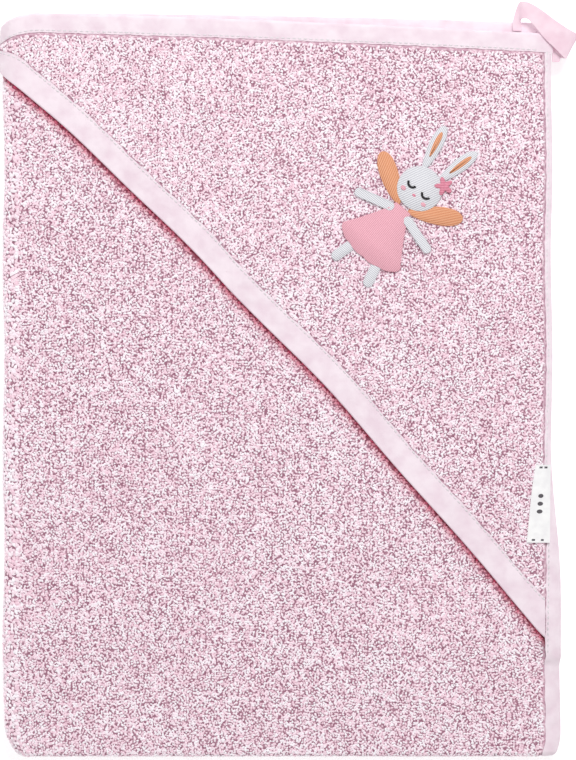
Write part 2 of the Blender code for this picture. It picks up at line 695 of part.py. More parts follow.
# name, layer, thread, outline drawn upright
RABBIT = (
    ("embroidery_wing_left", 0, "peach", petal(-0.0030, 0.0030, 0.0300, 0.0125, math.radians(148))),
    ("embroidery_wing_right", 0, "peach", petal(0.0030, 0.0030, 0.0300, 0.0125, math.radians(32))),
    ("embroidery_foot_left", 0, "white", limb(-0.0070, -0.0230, 0.0200, 0.0058, math.radians(-104))),
    ("embroidery_foot_right", 0, "white", limb(0.0070, -0.0230, 0.0200, 0.0058, math.radians(-76))),
    ("embroidery_ear_left", 0, "white", petal(-0.0050, 0.0250, 0.0270, 0.0092, math.radians(103))),
    ("embroidery_ear_right", 0, "white", petal(0.0050, 0.0250, 0.0270, 0.0092, math.radians(77))),
    ("embroidery_smock", 1, "rose", smock(0.0030, -0.0235, 0.0100, 0.0400, 0.0075)),
    ("embroidery_head", 1, "white", ellipse(0.0, HEAD_Y, HEAD_R * 1.03, HEAD_R)),
    ("embroidery_ear_lining_left", 1, "peach", petal(-0.0069, 0.0330, 0.0150, 0.0036, math.radians(103))),
    ("embroidery_ear_lining_right", 1, "peach", petal(0.0069, 0.0330, 0.0150, 0.0036, math.radians(77))),
    ("embroidery_arm_left", 2, "white", limb(-0.0040, -0.0002, 0.0230, 0.0050, math.radians(196))),
    ("embroidery_arm_right", 2, "white", limb(0.0040, -0.0002, 0.0230, 0.0050, math.radians(-16))),
    ("embroidery_eye_left", 2, "black", arc_band(-0.0048, 0.0166, 0.0022, 0.0009, 200, 340)),
    ("embroidery_eye_right", 2, "black", arc_band(0.0048, 0.0166, 0.0022, 0.0009, 200, 340)),
    ("embroidery_nose", 2, "deep_rose", ellipse(0.0, 0.0118, 0.0012, 0.0009, 0.0, 14)),
    ("embroidery_cheek_left", 2, "rose", ellipse(-0.0070, 0.0112, 0.0016, 0.0012, 0.0, 16)),
    ("embroidery_cheek_right", 2, "rose", ellipse(0.0070, 0.0112, 0.0016, 0.0012, 0.0, 16)),
    ("embroidery_flower", 2, "deep_rose", flower(0.0092, 0.0258, 0.0052)),
)


def add_rabbit(towel, threads):
    surface = FRONT_Z + PLY + HOOD_HIGH
    layer_pitch = EMBROIDERY_THICKNESS + GAP
    c, s = math.cos(RABBIT_TURN), math.sin(RABBIT_TURN)
    for name, layer, thread, outline in RABBIT:
        turned = [
            (RABBIT_CENTRE[0] + x * c - y * s, RABBIT_CENTRE[1] + x * s + y * c) for x, y in outline
        ]
        low = surface + GAP + layer * layer_pitch
        towel.flat_shape(name, turned, low, threads[thread], "front_leaf")


def hinge_points():
    """The joints' axes: the left fold turns about its outermost line, at half its height.
    The right one turns at half the pack's height, beside all that it carries."""
    left_x = PACK_LEFT - GAP - TERRY_THICKNESS
    left_z = FRONT_Z - LEFT_RADIUS
    right_x = PACK_RIGHT + STRIP / 2 + 2 * SPINE
    right_z = (FRONT_Z + PLY + HOOD_HIGH) / 2
    label = place(LABEL_START, LABEL_FROM_HOOD_EDGE + LABEL_LENGTH / 2, HOOD_HIGH + GAP + LABEL_THICKNESS / 2)
    inner, outer = loop_sections()
    loop = (inner[0] + outer[0] + inner[-1] + outer[-1]) / 4 + Vector(LOOP_HINGE_SET)
    return {
        "back_leaf": ((0.0, 0.0, 0.0), None),
        "middle_leaf": ((right_x, 0.0, right_z), "back_leaf"),
        "front_leaf": ((left_x, 0.0, left_z), "middle_leaf"),
        "label": (tuple(label), "front_leaf"),
        "loop": (tuple(loop), "front_leaf"),
    }


def main():
    clear_scene()
    terry = material("pink_cotton_terry", 238, 205, 219, 0.95)
    tape = material("pale_pink_cotton_tape", 243, 229, 236, 0.85)
    thread = material("white_sewing_thread", 250, 246, 248, 0.6)
    label = material("white_woven_label", 251, 250, 250, 0.7)
    threads = {
        "white": material("white_embroidery_thread", 240, 240, 244, 0.5),
        "rose": material("rose_embroidery_thread", 240, 178, 192, 0.5),
        "deep_rose": material("deep_rose_embroidery_thread", 226, 128, 158, 0.5),
        "peach": material("peach_embroidery_thread", 242, 178, 140, 0.5),
        "black": material("black_embroidery_thread", 30, 26, 30, 0.5),
    }
    towel = Towel(hinge_points())
    add_terry(towel, terry)
    add_hood(towel, terry, tape)
    add_edge_tape(towel, tape)
    add_stitching(towel, thread)
    add_label(towel, label)
    add_loop(towel, tape)
    add_rabbit(towel, threads)


main()
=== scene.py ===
"""Hooded baby towel, folded and laid flat with its hood up.

The cloth is drafted flat, as it is sewn, and one class folds it: in half at the foot, and in
three along its sides. Flat cloth coordinates: u from the towel's right edge to its left one, v
from the hood edge to the foot edge, m above the middle of the terry. Metres throughout.
"""

import logging
import math
from dataclasses import dataclass
from enum import Enum
from typing import Any, Sequence

import bmesh
import bpy
import numpy as np
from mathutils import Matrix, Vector


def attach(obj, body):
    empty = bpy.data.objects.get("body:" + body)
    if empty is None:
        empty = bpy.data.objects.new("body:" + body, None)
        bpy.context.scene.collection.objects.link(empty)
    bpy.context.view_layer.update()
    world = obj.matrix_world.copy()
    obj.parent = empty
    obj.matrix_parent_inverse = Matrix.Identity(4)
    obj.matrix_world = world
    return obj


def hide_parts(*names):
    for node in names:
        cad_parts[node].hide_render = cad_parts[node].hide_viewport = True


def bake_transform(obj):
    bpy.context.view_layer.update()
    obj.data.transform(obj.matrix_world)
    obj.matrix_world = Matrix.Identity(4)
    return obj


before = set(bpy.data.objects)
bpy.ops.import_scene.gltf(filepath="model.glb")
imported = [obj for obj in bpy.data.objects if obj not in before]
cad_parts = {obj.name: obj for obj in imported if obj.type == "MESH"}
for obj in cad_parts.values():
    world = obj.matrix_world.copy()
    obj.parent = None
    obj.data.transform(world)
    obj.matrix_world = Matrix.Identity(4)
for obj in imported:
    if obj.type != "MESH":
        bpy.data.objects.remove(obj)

log = logging.getLogger("hooded_towel")
Array = np.ndarray


class Leaf(Enum):
    """The stretches of the folded towel, named for what carries them."""

    FRONT = "front_leaf"
    LEFT_FOLD = "left_fold"
    MIDDLE = "middle_leaf"
    RIGHT_FOLD = "right_fold"
    BACK = "back_leaf"


@dataclass(frozen=True)
class Draft:
    """The towel's sizes, the same as those of its solids."""

    side: float = 0.800
    terry: float = 0.0028
    seam_terry: float = 0.0014
    seam_hood: float = 0.0022
    gap: float = 0.0003
    ramp: float = 0.0016
    tape: float = 0.0004
    edge_width: float = 0.0100
    side_width: float = 0.0070
    thick_width: float = 0.0032
    hood_width: float = 0.0135
    hood_leg: float = 0.3426
    hood_top: float = 0.3375
    hood_bow: float = 0.0240
    hood_tip: float = 0.0140
    right: float = 0.1440
    left: float = -0.1495
    inner_fold: float = 0.1362
    sag: float = 0.0030
    sag_start: float = -0.085
    sag_end: float = -0.135
    curl_start: float = 0.1345
    curl_bend: float = 25.0
    skew: float = 0.0032
    dip: float = 0.0083
    fold_allowance: float = 0.9
    label_near: float = 0.240
    label_length: float = 0.0420
    label_width: float = 0.0095
    label_thickness: float = 0.0008
    loop_width: float = 0.0110
    loop_from_middle: float = 0.1277
    loop_down_side: float = 0.0090
    loop_thickness: float = 0.0009

    @property
    def strip(self) -> float:
        """Thickness of the towel folded in half."""
        return 2 * self.terry + self.gap

    @property
    def ply(self) -> float:
        """From the strip's middle to the middle of one ply."""
        return (self.terry + self.gap) / 2

    @property
    def spine(self) -> float:
        """How far a tape reaches past the edge that it binds."""
        return self.gap + self.tape

    @property
    def hood_low(self) -> float:
        """Height of the hood's underside."""
        return self.terry / 2 + self.gap

    @property
    def hood_high(self) -> float:
        """Height of the hood's face."""
        return self.hood_low + self.terry

    @property
    def tall_tape(self) -> float:
        """Height of the edge tape's face where it binds hood and towel."""
        return self.seam_terry / 2 + self.gap + self.seam_hood + self.spine

    @property
    def flat_tape(self) -> float:
        """Height of the edge tape's face where it binds the towel alone."""
        return self.seam_terry / 2 + self.spine


def ease(t: Array) -> Array:
    """A smooth step from 0 to 1.

    Args:
        t: Where on the step, any value.

    Returns:
        The step's height at t.
    """
    t = np.clip(t, 0.0, 1.0)
    return t * t * (3 - 2 * t)


def between(start: float, end: float, spacing: float) -> list[float]:
    """Evenly spaced values.

    Args:
        start: The first value.
        end: The last value.
        spacing: The most that two neighbours may be apart.

    Returns:
        The values, both ends among them.
    """
    count = max(1, math.ceil(abs(end - start) / spacing))
    return [start + (end - start) * i / count for i in range(count + 1)]


class FoldedPack:
    """The line that the half-folded towel follows, and where each point of it lies."""

    def __init__(self, draft: Draft) -> None:
        """Lays the line out from right to left and back."""
        d = self.draft = draft
        self.back_z = d.strip / 2
        self.middle_z = self.back_z + d.strip + d.gap
        self.front_z = self.middle_z + d.strip + d.gap
        self.left_radius = (d.strip + d.gap + d.sag) / 2
        self.right_radius = (d.strip + d.gap) / 2
        self.left_x = d.left + self.left_radius + d.strip / 2
        self.half_turn = math.pi * d.ply
        self.foot_y = -(d.side - self.half_turn) / 4 + d.strip / 4
        xs = np.linspace(d.right + 2 * d.spine, self.left_x, 240)
        front = np.stack([xs, self.front_z - d.curl_bend * np.maximum(0, xs - d.curl_start) ** 2], 1)
        left = self.turn(self.left_x, self.front_z - self.left_radius, self.left_radius, 90, 270)
        xs = np.linspace(self.left_x, d.inner_fold, 240)
        sag = d.sag * ease((d.sag_start - xs) / (d.sag_start - d.sag_end))
        middle = np.stack([xs, self.middle_z - sag], 1)
        right = self.turn(d.inner_fold, self.middle_z - self.right_radius, self.right_radius, 90, -90)
        legs = [self.length(part) for part in (front, left, middle, right)]
        before = front[front[:, 0] > d.right]
        height = np.interp(d.right, front[::-1, 0], front[::-1, 1])
        start = self.length(np.vstack([before, [d.right, height]]))
        remaining = d.side + 2 * d.spine + start - sum(legs)
        back = np.array([[d.inner_fold, self.back_z], [d.inner_fold - remaining, self.back_z]])
        points = np.vstack([front, left, middle, right, back])
        keep = np.r_[True, np.linalg.norm(np.diff(points, axis=0), axis=1) > 1e-9]
        self.points = points[keep]
        steps = np.linalg.norm(np.diff(self.points, axis=0), axis=1)
        self.along = np.r_[0.0, np.cumsum(steps)] - start
        tangent = np.gradient(self.points, self.along, axis=0)
        tangent /= np.linalg.norm(tangent, axis=1)[:, None]
        self.normal = np.stack([tangent[:, 1], -tangent[:, 0]], 1)
        ends = np.cumsum(legs) - start
        self.left_turn = (float(ends[0]), float(ends[1]))
        self.right_turn = (float(ends[2]), float(ends[3]))

    @staticmethod
    def turn(x: float, z: float, radius: float, start: float, end: float) -> Array:
        """Half a circle round x, z, from one angle to another in degrees."""
        angles = np.radians(np.linspace(start, end, 120))
        return np.stack([x + radius * np.cos(angles), z + radius * np.sin(angles)], 1)

    @staticmethod
    def length(points: Array) -> float:
        """The length of a line through points."""
        return float(np.linalg.norm(np.diff(points, axis=0), axis=1).sum())

    def straight(self, u: Array) -> Array:
        """The flat length of the hood-side ply at u, from the hood edge to the half fold."""
        share = np.clip(1 - u / self.left_turn[0], 0, None)
        return (self.draft.side - self.half_turn) / 2 - self.draft.skew * share

    def place(self, u: Any, v: Any, m: Any, relax: bool = True) -> Array:
        """Folds points of the flat towel.

        Args:
            u: Distances from the right edge.
            v: Distances from the hood edge.
            m: Heights above the middle of the terry.
            relax: Whether the pack's soft irregularity is added.

        Returns:
            The points in space, with one more axis than the inputs.
        """
        d = self.draft
        u, v, m = np.broadcast_arrays(*(np.asarray(a, float) for a in (u, v, m)))
        straight = self.straight(u)
        angle = np.clip((v - straight) / d.ply, 0, math.pi)
        on_a, on_b = v < straight, v > straight + self.half_turn
        n = np.where(on_a, d.ply + m, np.where(on_b, -d.ply - m, (d.ply + m) * np.cos(angle)))
        y = self.foot_y - (d.ply + m) * np.sin(angle)
        y = np.where(on_a, self.foot_y + straight - v, y)
        y = np.where(on_b, self.foot_y + v - straight - self.half_turn, y)
        near = ease((u - self.right_turn[0] + 0.030) / 0.025) * ease((self.right_turn[1] + 0.030 - u) / 0.025)
        n = n * (1 - 0.22 * near)
        x = np.interp(u, self.along, self.points[:, 0]) + n * np.interp(u, self.along, self.normal[:, 0])
        z = np.interp(u, self.along, self.points[:, 1]) + n * np.interp(u, self.along, self.normal[:, 1])
        share = np.maximum(0.0, (x - d.left) / (d.right - d.left))
        y = y - d.dip * share**1.5 * np.maximum(0.0, y) / (d.side / 4)
        points = np.stack([x, y, z], -1)
        return self.relax(points) if relax else points

    def relax(self, points: Array) -> Array:
        """Adds the pack's irregularity, the same for every layer, so none meets another.

        Args:
            points: Points of the tidy pack.

        Returns:
            The points as the towel really lies.
        """
        x, y, z = (points[..., i] for i in range(3))
        spread = 0.0052 * ease((-0.030 - y) / 0.100) * (np.maximum(0, x) / self.draft.right) ** 2
        corner = 0.0085 * np.clip((-0.184 - y) / 0.017, 0, 1.1) ** 2 * ease((-0.105 - x) / 0.040)
        corner = corner - 0.0045 * np.clip((-0.187 - y) / 0.016, 0, 1.1) ** 2 * ease((x - 0.120) / 0.030)
        edge = 0.0005 * np.sin(y * 61 + 0.6) * (np.abs(x) / 0.15) ** 4
        top = 0.0056 * np.clip((-0.130 - x) / 0.020, 0, 1.1) ** 2 * ease((y - 0.165) / 0.03)
        waves = (
            0.018 * np.sin(x * 62 + y * 17 + 0.4)
            + 0.014 * np.sin(y * 74 - x * 23 + 1.9)
            + 0.010 * np.sin((x + y) * 131 + 0.7)
            + 0.007 * np.sin((x - y) * 163 + 2.2)
        )
        return np.stack([x + spread + corner + edge, y - top, z * (1 + waves)], -1)

    def hood_cut(self, reach: Array) -> Array:
        """The hood's free edge as it is cut, at distances from its right edge."""
        d = self.draft
        t = reach / d.hood_top
        bulge = 0.0036 * np.exp(-np.sqrt((reach - 0.172) ** 2 + 0.004**2) / 0.050)
        ripple = (bulge + 0.0006 * np.sin(reach * 88 + 0.5)) * ease(reach / 0.03)
        ripple = ripple * ease((0.29 - reach) / 0.03)
        return d.hood_leg * (1 - t) - 4 * d.hood_bow * t * (1 - t) + ripple

    def hood_reach(self, u: Array) -> Array:
        """How far along the hood a place is. Outside the left fold it takes more cloth."""
        start, end = self.left_turn
        return u + self.draft.fold_allowance * (np.clip(u, start, end) - start)

    def hood_edge(self, u: Array) -> Array:
        """The outer side of the hood's tape.

        Args:
            u: Distances from the right edge.

        Returns:
            Distances from the hood edge.
        """
        return self.hood_cut(self.hood_reach(u))

    def hood_tape_inner(self, u: Array) -> Array:
        """The tape's other side, over the hood, as distances from the hood edge."""
        reach, step = self.hood_reach(u), 0.001
        slope = (self.hood_cut(reach + step) - self.hood_cut(reach - step)) / (2 * step)
        return self.hood_cut(reach) - self.draft.hood_width * np.sqrt(1 + slope * slope)

    def side_width(self, v: Array) -> Array:
        """How wide the right edge's tape shows at v: more and more as it leaves the hood."""
        d = self.draft
        return d.thick_width + (d.side_width - d.thick_width) * ease((v - 0.215) / 0.115)

    def u_of(self, x: float) -> float:
        """The distance along the cloth of a place on the front leaf."""
        front = self.along <= self.left_turn[0]
        return float(np.interp(-x, -self.points[front, 0], self.along[front]))

    def span(self, leaf: Leaf) -> tuple[float, float]:
        """Where along u a leaf or fold begins and ends."""
        marks = [0.0, *self.left_turn, *self.right_turn, self.draft.side]
        at = list(Leaf).index(leaf)
        return marks[at], marks[at + 1]


# ---------------------------------------------------------------- meshes


def mesh_object(name: str, points: Array, faces: Sequence[Sequence[int]]) -> bpy.types.Object:
    """Makes a smooth mesh object at the origin.

    Args:
        name: The piece's name.
        points: Its corners.
        faces: Its faces, as indices of corners.

    Returns:
        The new object.
    """
    data = bpy.data.meshes.new(name)
    data.from_pydata(np.asarray(points).reshape(-1, 3).tolist(), [], faces)
    data.update()
    obj = bpy.data.objects.new(name, data)
    bpy.context.scene.collection.objects.link(obj)
    return obj


def face_outwards(obj: bpy.types.Object) -> None:
    """Turns all faces of a closed mesh outwards and shades it smooth."""
    mesh = bmesh.new()
    mesh.from_mesh(obj.data)
    bmesh.ops.recalc_face_normals(mesh, faces=mesh.faces)
    mesh.to_mesh(obj.data)
    mesh.free()
    obj.data.shade_smooth()
    obj.data.set_sharp_from_angle(angle=math.radians(50))


def loft(name: str, rings: Array) -> bpy.types.Object:
    """A closed solid through closed sections, each a front row and the same back row reversed.

    Args:
        name: The piece's name.
        rings: Points, by section and by place round the section.

    Returns:
        The new object.
    """
    count, size = rings.shape[:2]
    i, j = np.meshgrid(np.arange(count - 1), np.arange(size), indexing="ij")
    a, b = i * size + j, i * size + (j + 1) % size
    faces = np.stack([a, b, b + size, a + size], -1).reshape(-1, 4)
    j = np.arange(size // 2 - 1)
    cap = np.stack([j, j + 1, size - 2 - j, size - 1 - j], -1)
    faces = np.vstack([faces, cap, cap + (count - 1) * size])
    obj = mesh_object(name, rings, faces.tolist())
    face_outwards(obj)
    return obj


def mark(obj: bpy.types.Object, name: str, values: Array) -> None:
    """Stores a number on each corner of a mesh."""
    layer = obj.data.attributes.new(name, "FLOAT", "POINT")
    layer.data.foreach_set("value", np.asarray(values, np.float32).ravel())


# ---------------------------------------------------------------- nodes and finishes


def add_node(tree: bpy.types.NodeTree, kind: str, settings: dict[str, Any], links: dict[Any, Any]) -> Any:
    """Adds one node.

    Args:
        tree: The tree that it joins.
        kind: Its type's name.
        settings: Its properties by name, and its unlinked inputs by name or number.
        links: Its linked inputs by name or number, each with the socket that feeds it.

    Returns:
        The new node.
    """
    made = tree.nodes.new(kind)
    for key, value in settings.items():
        if isinstance(key, str) and hasattr(made, key):
            setattr(made, key, value)
        else:
            made.inputs[key].default_value = value
    for key, socket in links.items():
        tree.links.new(socket, made.inputs[key])
    return made


def linear(hex_colour: str) -> tuple[float, float, float, float]:
    """Turns an sRGB hex colour into linear values with full alpha."""
    values = [int(hex_colour[i : i + 2], 16) / 255 for i in (1, 3, 5)]
    parts = [v / 12.92 if v <= 0.04045 else ((v + 0.055) / 1.055) ** 2.4 for v in values]
    return (parts[0], parts[1], parts[2], 1.0)


def new_material(name: str, roughness: float, sheen: float) -> tuple[bpy.types.Material, Any, Any]:
    """A material with its main shader.

    Args:
        name: What the real material is.
        roughness: How matt it is.
        sheen: How much soft light its fibres catch.

    Returns:
        The material, its node tree and its main shader.
    """
    material = bpy.data.materials.new(name)
    material.use_nodes = True
    tree = material.node_tree
    shader = tree.nodes["Principled BSDF"]
    shader.inputs["Roughness"].default_value = roughness
    shader.inputs["Sheen Weight"].default_value = sheen
    shader.inputs["Specular IOR Level"].default_value = 0.25
    return material, tree, shader


def tinted(tree: Any, colour: Any, where: str, tint: str) -> Any:
    """Multiplies a colour by a tint where the cloth is marked, and returns the colour's socket."""
    marked = add_node(tree, "ShaderNodeAttribute", {"attribute_name": where}, {}).outputs["Fac"]
    mix = add_node(
        tree,
        "ShaderNodeMix",
        {"data_type": "RGBA", "blend_type": "MULTIPLY", 7: linear(tint)},
        {0: marked, 6: colour},
    )
    return mix.outputs[2]


def colour_ramp(tree: Any, socket: Any, stops: Sequence[tuple[float, str]]) -> Any:
    """Turns a value into a colour, and returns the colour's socket."""
    ramp = add_node(tree, "ShaderNodeValToRGB", {}, {"Fac": socket})
    elements = ramp.color_ramp.elements
    while len(elements) < len(stops):
        elements.new(0.5)
    for element, (at, colour) in zip(elements, stops):
        element.position = at
        element.color = linear(colour)
    return ramp.outputs["Color"]


@dataclass(frozen=True)
class TerryFinish:
    """Looped cotton terry: matt and mottled, with painted shade that darkens it between its loops."""

    name: str
    deep: str
    pale: str
    # Colour multiplied onto the ground where loops stand: painted shade in the gaps between the loops.
    under: str
    grain_mm: float = 2.0
    relief_mm: float = 1.0

    def build(self) -> bpy.types.Material:
        """Builds the ground cloth, whose relief follows the spacing of the loops."""
        material, tree, shader = new_material(self.name, 1.0, 0.25)
        place = add_node(tree, "ShaderNodeTexCoord", {}, {}).outputs["Object"]
        loops = add_node(
            tree,
            "ShaderNodeTexVoronoi",
            {"feature": "SMOOTH_F1", "Scale": 1000 / self.grain_mm, "Smoothness": 0.6},
            {"Vector": place},
        )
        cloud = add_node(tree, "ShaderNodeTexNoise", {"Scale": 24.0, "Detail": 3.0}, {"Vector": place})
        mix = add_node(
            tree,
            "ShaderNodeMath",
            {"operation": "MULTIPLY_ADD", 1: 0.35},
            {0: cloud.outputs["Fac"], 2: loops.outputs["Distance"]},
        )
        # Partly random mottling from the cloud, partly painted shade: pale at each loop cell's centre, deep at its
        # edges, the recesses of the relief.
        shade = colour_ramp(tree, mix.outputs[0], [(0.25, self.pale), (0.80, self.deep)])
        # Painted shade: where loops stand, the ground colour is multiplied by the under colour.
        below = tinted(tree, shade, "pile", self.under)
        # Painted shadow: where the cloth is marked as lying in the hood tape's shade, the terry colour is multiplied
        # by deep crimson.
        tree.links.new(tinted(tree, below, "painted_tape_shadow", "#C02A58"), shader.inputs["Base Color"])
        bump = add_node(
            tree,
            "ShaderNodeBump",
            {"Strength": 0.8, "Distance": self.relief_mm / 1000, "invert": True},
            {"Height": loops.outputs["Distance"]},
        )
        tree.links.new(bump.outputs["Normal"], shader.inputs["Normal"])
        return material


@dataclass(frozen=True)
class PileFinish:
    """The loops themselves: soft cotton yarn, each its own shade."""

    name: str
    deep: str
    middle: str
    pale: str

    def build(self) -> bpy.types.Material:
        """Builds the yarn, with slow clouds of tone over the towel."""
        material, tree, shader = new_material(self.name, 0.95, 0.35)
        place = add_node(tree, "ShaderNodeTexCoord", {}, {}).outputs["Object"]
        shade = add_node(tree, "ShaderNodeAttribute", {"attribute_name": "shade"}, {}).outputs["Fac"]
        cloud = add_node(tree, "ShaderNodeTexNoise", {"Scale": 34.0, "Detail": 4.0}, {"Vector": place})
        mix = add_node(
            tree, "ShaderNodeMath", {"operation": "MULTIPLY_ADD", 1: 0.5}, {0: cloud.outputs["Fac"], 2: shade}
        )
        stops = [(0.20, self.deep), (0.62, self.middle), (1.15, self.pale)]
        scaled = add_node(tree, "ShaderNodeMath", {"operation": "DIVIDE", 1: 1.2}, {0: mix.outputs[0]})
        colour = colour_ramp(tree, scaled.outputs[0], [(at / 1.2, c) for at, c in stops])
        # Painted shadow: loops marked as lying in the hood tape's shade are multiplied by deep crimson.
        tree.links.new(tinted(tree, colour, "painted_tape_shadow", "#D03464"), shader.inputs["Base Color"])
        return material


@dataclass(frozen=True)
class TapeFinish:
    """Plain-woven cotton tape: smooth, faintly creased across, its weave too fine to see."""

    name: str
    base: str
    shadow: str
    thread_mm: float = 0.9
    crease_mm: float = 9.0

    def build(self) -> bpy.types.Material:
        """Builds the tape, its weave drawn at twice its real 0.45 mm so that it shows."""
        material, tree, shader = new_material(self.name, 0.8, 0.2)
        place = add_node(tree, "ShaderNodeTexCoord", {}, {}).outputs["Object"]
        crease = add_node(
            tree, "ShaderNodeTexNoise", {"Scale": 1000 / self.crease_mm, "Detail": 2.0}, {"Vector": place}
        )
        weave = add_node(tree, "ShaderNodeTexChecker", {"Scale": 1000 / self.thread_mm}, {"Vector": place})
        colour = colour_ramp(tree, crease.outputs["Fac"], [(0.30, self.shadow), (0.62, self.base)])
        tree.links.new(colour, shader.inputs["Base Color"])
        height = add_node(
            tree,
            "ShaderNodeMath",
            {"operation": "MULTIPLY_ADD", 1: 0.04},
            {0: weave.outputs["Fac"], 2: crease.outputs["Fac"]},
        )
        bump = add_node(
            tree, "ShaderNodeBump", {"Strength": 0.6, "Distance": 0.0012}, {"Height": height.outputs[0]}
        )
        tree.links.new(bump.outputs["Normal"], shader.inputs["Normal"])
        return material


@dataclass(frozen=True)
class SatinStitchFinish:
    """Rayon embroidery thread in close parallel rows, glossy along each row, with painted shade in the grooves
    between rows.
    """

    name: str
    base: str
    dark: str
    turn: float = 0.0
    row_mm: float = 0.9

    def build(self) -> bpy.types.Material:
        """Builds the rows, drawn at twice their real 0.4 mm so that they show."""
        material, tree, shader = new_material(self.name, 0.45, 0.1)
        place = add_node(tree, "ShaderNodeTexCoord", {}, {}).outputs["Object"]
        turned = add_node(tree, "ShaderNodeMapping", {"Rotation": (0, 0, self.turn)}, {"Vector": place})
        rows = add_node(
            tree,
            "ShaderNodeTexWave",
            {"Scale": 314.0 / self.row_mm, "Distortion": 0.8, "Detail": 1.0, "Detail Scale": 1.0},
            {"Vector": turned.outputs["Vector"]},
        )
        # Painted shade: the colour turns to the dark tone in the grooves between the rows.
        colour = colour_ramp(tree, rows.outputs["Fac"], [(0.05, self.dark), (0.55, self.base)])
        tree.links.new(colour, shader.inputs["Base Color"])
        bump = add_node(
            tree, "ShaderNodeBump", {"Strength": 0.5, "Distance": 0.0004}, {"Height": rows.outputs["Fac"]}
        )
        tree.links.new(bump.outputs["Normal"], shader.inputs["Normal"])
        return material


# ---------------------------------------------------------------- repeated detail


def bake(obj: bpy.types.Object, name: str) -> bpy.types.Object:
    """Turns an object with node modifiers into a plain mesh piece, and removes the original."""
    data = bpy.data.meshes.new_from_object(obj.evaluated_get(bpy.context.evaluated_depsgraph_get()))
    data.name = name
    baked = bpy.data.objects.new(name, data)
    bpy.context.scene.collection.objects.link(baked)
    bpy.data.objects.remove(obj, do_unlink=True)
    return baked


def node_group(name: str, inputs: dict[str, tuple[str, Any]]) -> tuple[Any, Any, Any]:
    """Starts a geometry tree.

    Args:
        name: The tree's name.
        inputs: Each input's socket type and value, by name.

    Returns:
        The tree, its input node and its output node.
    """
    tree = bpy.data.node_groups.new(name, "GeometryNodeTree")
    tree.interface.new_socket("Geometry", in_out="INPUT", socket_type="NodeSocketGeometry")
    tree.interface.new_socket("Geometry", in_out="OUTPUT", socket_type="NodeSocketGeometry")
    for label, (kind, value) in inputs.items():
        socket = tree.interface.new_socket(label, in_out="INPUT", socket_type=kind)
        if value is not None:
            socket.default_value = value
    return tree, tree.nodes.new("NodeGroupInput"), tree.nodes.new("NodeGroupOutput")


def run_group(obj: bpy.types.Object, tree: Any, values: dict[str, Any]) -> None:
    """Puts a tree on an object and sets its inputs by their identifiers."""
    modifier = obj.modifiers.new(tree.name, "NODES")
    modifier.node_group = tree
    for item in tree.interface.items_tree:
        if item.in_out == "INPUT" and item.name in values:
            modifier[item.identifier] = values[item.name]


